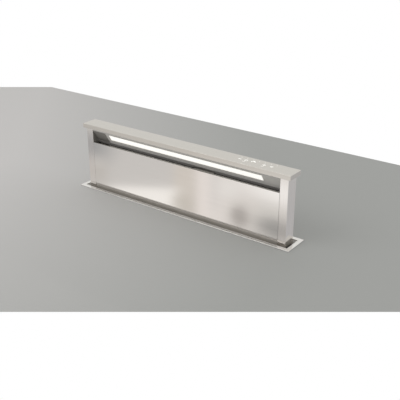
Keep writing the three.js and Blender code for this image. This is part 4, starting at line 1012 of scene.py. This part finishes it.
def make_ground(name, height, outline):
    """A flat ground with the vent's cut-out, trimmed to an outline of corners, counter-clockwise."""
    bpy.ops.mesh.primitive_plane_add(size=2 * GROUND_HALF)
    ground = bpy.context.active_object
    ground.name = name
    edit_all(ground)
    cuts = [((CUT_OUT[0], 0, 0), (1, 0, 0)), ((-CUT_OUT[0], 0, 0), (1, 0, 0))]
    cuts += [((0, CUT_OUT[1], 0), (0, 1, 0)), ((0, -CUT_OUT[1], 0), (0, 1, 0))]
    for point, normal in cuts:
        bpy.ops.mesh.select_all(action="SELECT")
        bpy.ops.mesh.bisect(plane_co=point, plane_no=normal)
    for start, end in zip(outline, outline[1:] + outline[:1]):
        along = Vector((end[0] - start[0], end[1] - start[1], 0))
        outward = along.cross(Vector((0, 0, 1))).normalized()
        bpy.ops.mesh.select_all(action="SELECT")
        bpy.ops.mesh.bisect(plane_co=(*start, 0), plane_no=outward, clear_outer=True)
    bpy.ops.mesh.select_mode(type="FACE")
    bpy.ops.mesh.select_all(action="DESELECT")
    shape = bmesh.from_edit_mesh(ground.data)
    for face in shape.faces:
        middle = face.calc_center_median()
        face.select = abs(middle.x) < CUT_OUT[0] and abs(middle.y) < CUT_OUT[1]
    bmesh.update_edit_mesh(ground.data)
    bpy.ops.mesh.delete(type="FACE")
    stop_editing()
    ground.data.transform(Matrix.Translation((0, 0, height)))
    return ground


def one_sided(made, front):
    """Shows a ground from above only."""
    tree = made.node_tree
    side = add(tree, "NewGeometry").outputs["Backfacing"]
    clear = add(tree, "BsdfTransparent")
    shown = add(tree, "MixShader", {0: side, 1: front, 2: clear.outputs[0]})
    tree.links.new(shown.outputs[0], tree.nodes["Material Output"].inputs["Surface"])


def make_worktop_finish():
    """Matt grey worktop with painted light: lighter towards the left and the front."""
    made = bpy.data.materials.new("worktop")
    made.use_nodes = True
    tree = made.node_tree
    place = add(tree, "SeparateXYZ", {0: add(tree, "TexCoord").outputs["Object"]}).outputs
    behind = add(tree, "Math", {0: place["Y"], 1: 0.0}, operation="MAXIMUM").outputs[0]
    across = add(tree, "Math", {0: behind, 1: 0.9, 2: place["X"]}, operation="MULTIPLY_ADD").outputs[0]
    share = add(tree, "MapRange", {"Value": across, "From Min": -0.9, "From Max": 0.5}).outputs["Result"]
    # Painted light: the grey fades from light at the left to darker at the right, and darker again behind
    # the vent.
    base = between(tree, share, colour(197, 195, 193), colour(164, 165, 162))
    shader = tree.nodes["Principled BSDF"]
    tree.links.new(base, shader.inputs["Base Color"])
    shader.inputs["Roughness"].default_value = 0.6
    shader.inputs["Specular IOR Level"].default_value = 0.2
    one_sided(made, shader.outputs[0])
    return made


def make_white_finish():
    """A white ground that stays white to the camera."""
    made = bpy.data.materials.new("white_ground")
    made.use_nodes = True
    tree = made.node_tree
    seen = add(tree, "LightPath").outputs["Is Camera Ray"]
    plain = add(tree, "BsdfDiffuse", {"Color": colour(186, 186, 184)})
    white = add(tree, "Emission", {"Color": (1, 1, 1, 1), "Strength": 1.0})
    front = add(tree, "MixShader", {0: seen, 1: plain.outputs[0], 2: white.outputs[0]})
    one_sided(made, front.outputs[0])
    return made


worktop = make_ground("worktop", 0, WORKTOP_CORNERS)
worktop.data.materials.append(make_worktop_finish())
white_ground = make_ground("white_ground", -GROUND_DROP, GROUND_CORNERS)
white_ground.data.materials.append(make_white_finish())
for ground in (worktop, white_ground):
    ground.visible_glossy = False

# ---------------------------------------------------------------------------
# Studio: an even pale room, one large soft lamp, and a board that only the
# metal sees, which gives the front panel its blurred cream and grey patches.
# ---------------------------------------------------------------------------

ROOM_LIGHT = (0.82, 0.82, 0.82, 1)


def make_room():
    """White to the camera, and a soft grey room, paler above, to everything else."""
    world = bpy.data.worlds.new("room")
    bpy.context.scene.world = world
    world.use_nodes = True
    tree = world.node_tree
    path = add(tree, "LightPath").outputs
    height = add(tree, "SeparateXYZ", {0: add(tree, "TexCoord").outputs["Generated"]}).outputs["Z"]
    share = add(tree, "MapRange", {"Value": height, "From Min": -0.45, "From Max": 0.45})
    mirrored = between(tree, share.outputs["Result"], colour(200, 200, 202), colour(250, 250, 247))
    lighting = between(tree, path["Is Glossy Ray"], ROOM_LIGHT, mirrored)
    seen = between(tree, path["Is Camera Ray"], lighting, (1, 1, 1, 1))
    background = tree.nodes["Background"]
    tree.links.new(seen, background.inputs["Color"])
    background.inputs["Strength"].default_value = 1.0


BOARD_LOW = (-2.0, -1.05)
BOARD_HIGH = (1.0, 0.55)
BOARD_DEPTH = -0.6
BOARD_STRENGTH = 1.35
BOARD_COLOUR = colour(201, 199, 198)

# A spot of the front at (x, z) mirrors the board at SPREAD times (x, z), moved by SHIFT.
SPREAD = 1.327
SHIFT = Vector((-0.457, 0, -0.344))

# Form, middle and half size as they show on the front, turn in degrees, softness, share, colour.
PATCHES = [
    ("square", (0.3, 0.12), (0.225, 0.3), 0, 0.1, 1.0, (226, 222, 220)),
    ("square", (0.028, 0.1), (0.047, 0.3), 0, 0.2, 1.0, (208, 202, 196)),
    ("square", (-0.167, 0.005), (0.17, 0.05), -12.4, 0.25, 1.0, (246, 244, 242)),
    ("round", (0.018, 0.038), (0.045, 0.032), 0, 0.6, 0.9, (192, 187, 180)),
    ("square", (0.105, 0.1), (0.021, 0.3), 0, 0.3, 1.0, (233, 227, 225)),
    ("square", (0.155, 0.14), (0.018, 0.09), 0, 0.4, 0.8, (214, 211, 210)),
    ("round", (0.43, 0.2), (0.14, 0.07), 0, 0.8, 1.0, (247, 246, 246)),
    ("square", (0.39, 0.097), (0.08, 0.042), 0, 0.5, 0.8, (204, 202, 199)),
    ("round", (0.255, 0.085), (0.05, 0.06), 0, 0.8, 0.5, (203, 199, 196)),
    ("round", (0.21, 0.145), (0.04, 0.03), 0, 0.8, 0.7, (232, 231, 230)),
    ("round", (0.405, 0.05), (0.088, 0.036), 0, 0.5, 1.0, (146, 146, 145)),
    ("round", (0.255, 0.056), (0.034, 0.036), 0, 0.5, 1.0, (154, 150, 147)),
    ("round", (-0.45, 0.175), (0.13, 0.075), 0, 0.6, 1.0, (158, 159, 161)),
    ("square", (-0.405, 0.06), (0.06, 0.04), 0, 0.6, 0.8, (188, 184, 180)),
    ("round", (-0.4, 0.105), (0.045, 0.022), 0, 0.8, 0.5, (214, 210, 207)),
    ("square", (0.38, 0.008), (0.12, 0.014), 0, 0.6, 0.7, (182, 180, 178)),
    ("square", (0.0, 0.335), (0.6, 0.11), 0, 0.3, 1.0, (209, 207, 204)),
]


def add_patch(tree, place, below, form, middle, half, turn, softness, share, shade):
    """Lays one soft edged patch of colour over what is below it."""
    laid = {
        "Vector": place,
        "Location": SPREAD * Vector((middle[0], 0, middle[1])) + SHIFT,
        "Rotation": (0, radians(turn), 0),
        "Scale": (SPREAD * half[0], 1, SPREAD * half[1]),
    }
    local = add(tree, "Mapping", laid, vector_type="TEXTURE").outputs[0]
    flat = add(tree, "VectorMath", {0: local, 1: (1, 0, 1)}, operation="MULTIPLY").outputs[0]
    if form == "round":
        reach = add(tree, "VectorMath", {0: flat}, operation="LENGTH").outputs["Value"]
    else:
        far = add(tree, "VectorMath", {0: flat}, operation="ABSOLUTE").outputs[0]
        sides = add(tree, "SeparateXYZ", {0: far}).outputs
        reach = add(tree, "Math", {0: sides["X"], 1: sides["Z"]}, operation="MAXIMUM").outputs[0]
    fade = {"Value": reach, "From Min": 1 - softness, "From Max": 1 + softness}
    fade.update({"To Min": share, "To Max": 0.0})
    cover = add(tree, "MapRange", fade, interpolation_type="SMOOTHSTEP").outputs["Result"]
    return between(tree, cover, below, colour(*shade))


def make_board():
    """An upright board before the vent, lit in soft patches, that shows only in the metal."""
    bpy.ops.mesh.primitive_plane_add(size=1)
    board = bpy.context.active_object
    board.name = "reflector_board"
    stand_up(board, BOARD_LOW, BOARD_HIGH, BOARD_DEPTH)
    made = bpy.data.materials.new("reflector_board")
    made.use_nodes = True
    tree = made.node_tree
    place = add(tree, "TexCoord").outputs["Object"]
    shade = BOARD_COLOUR
    for patch in PATCHES:
        shade = add_patch(tree, place, shade, *patch)
    glow = add(tree, "Emission", {"Color": shade, "Strength": BOARD_STRENGTH})
    tree.links.new(glow.outputs[0], tree.nodes["Material Output"].inputs["Surface"])
    board.data.materials.append(made)
    for kind in ("camera", "diffuse", "shadow", "transmission", "volume_scatter"):
        setattr(board, "visible_" + kind, False)


make_room()
make_board()

LAMP_PLACE = (-1.6, -2.4, 3.0)
LAMP_SIZE = (2.6, 2.0)
LAMP_POWER = 28.0
bpy.ops.object.light_add(type="AREA", location=LAMP_PLACE)
lamp = bpy.context.active_object
lamp.name = "soft_lamp"
lamp.data.shape = "RECTANGLE"
lamp.data.size, lamp.data.size_y = LAMP_SIZE
lamp.data.energy = LAMP_POWER
lamp.rotation_euler = (-lamp.location).to_track_quat("-Z", "Y").to_euler()

CAMERA_PLACE = (1.39385, -1.7801, 1.04786)
CAMERA_AZIMUTH = 0.6375
CAMERA_ELEVATION = 0.41915
FOCAL_LENGTH_PIXELS = 701.7
IMAGE_WIDTH_PIXELS = 400
camera_data = bpy.data.cameras.new("camera")
camera_data.sensor_width = 36
camera_data.lens = camera_data.sensor_width * FOCAL_LENGTH_PIXELS / IMAGE_WIDTH_PIXELS
camera = bpy.data.objects.new("camera", camera_data)
bpy.context.scene.collection.objects.link(camera)
camera.location = CAMERA_PLACE
camera.rotation_euler = (pi / 2 - CAMERA_ELEVATION, 0, CAMERA_AZIMUTH)
bpy.context.scene.camera = camera
bpy.context.scene.view_settings.view_transform = "Standard"
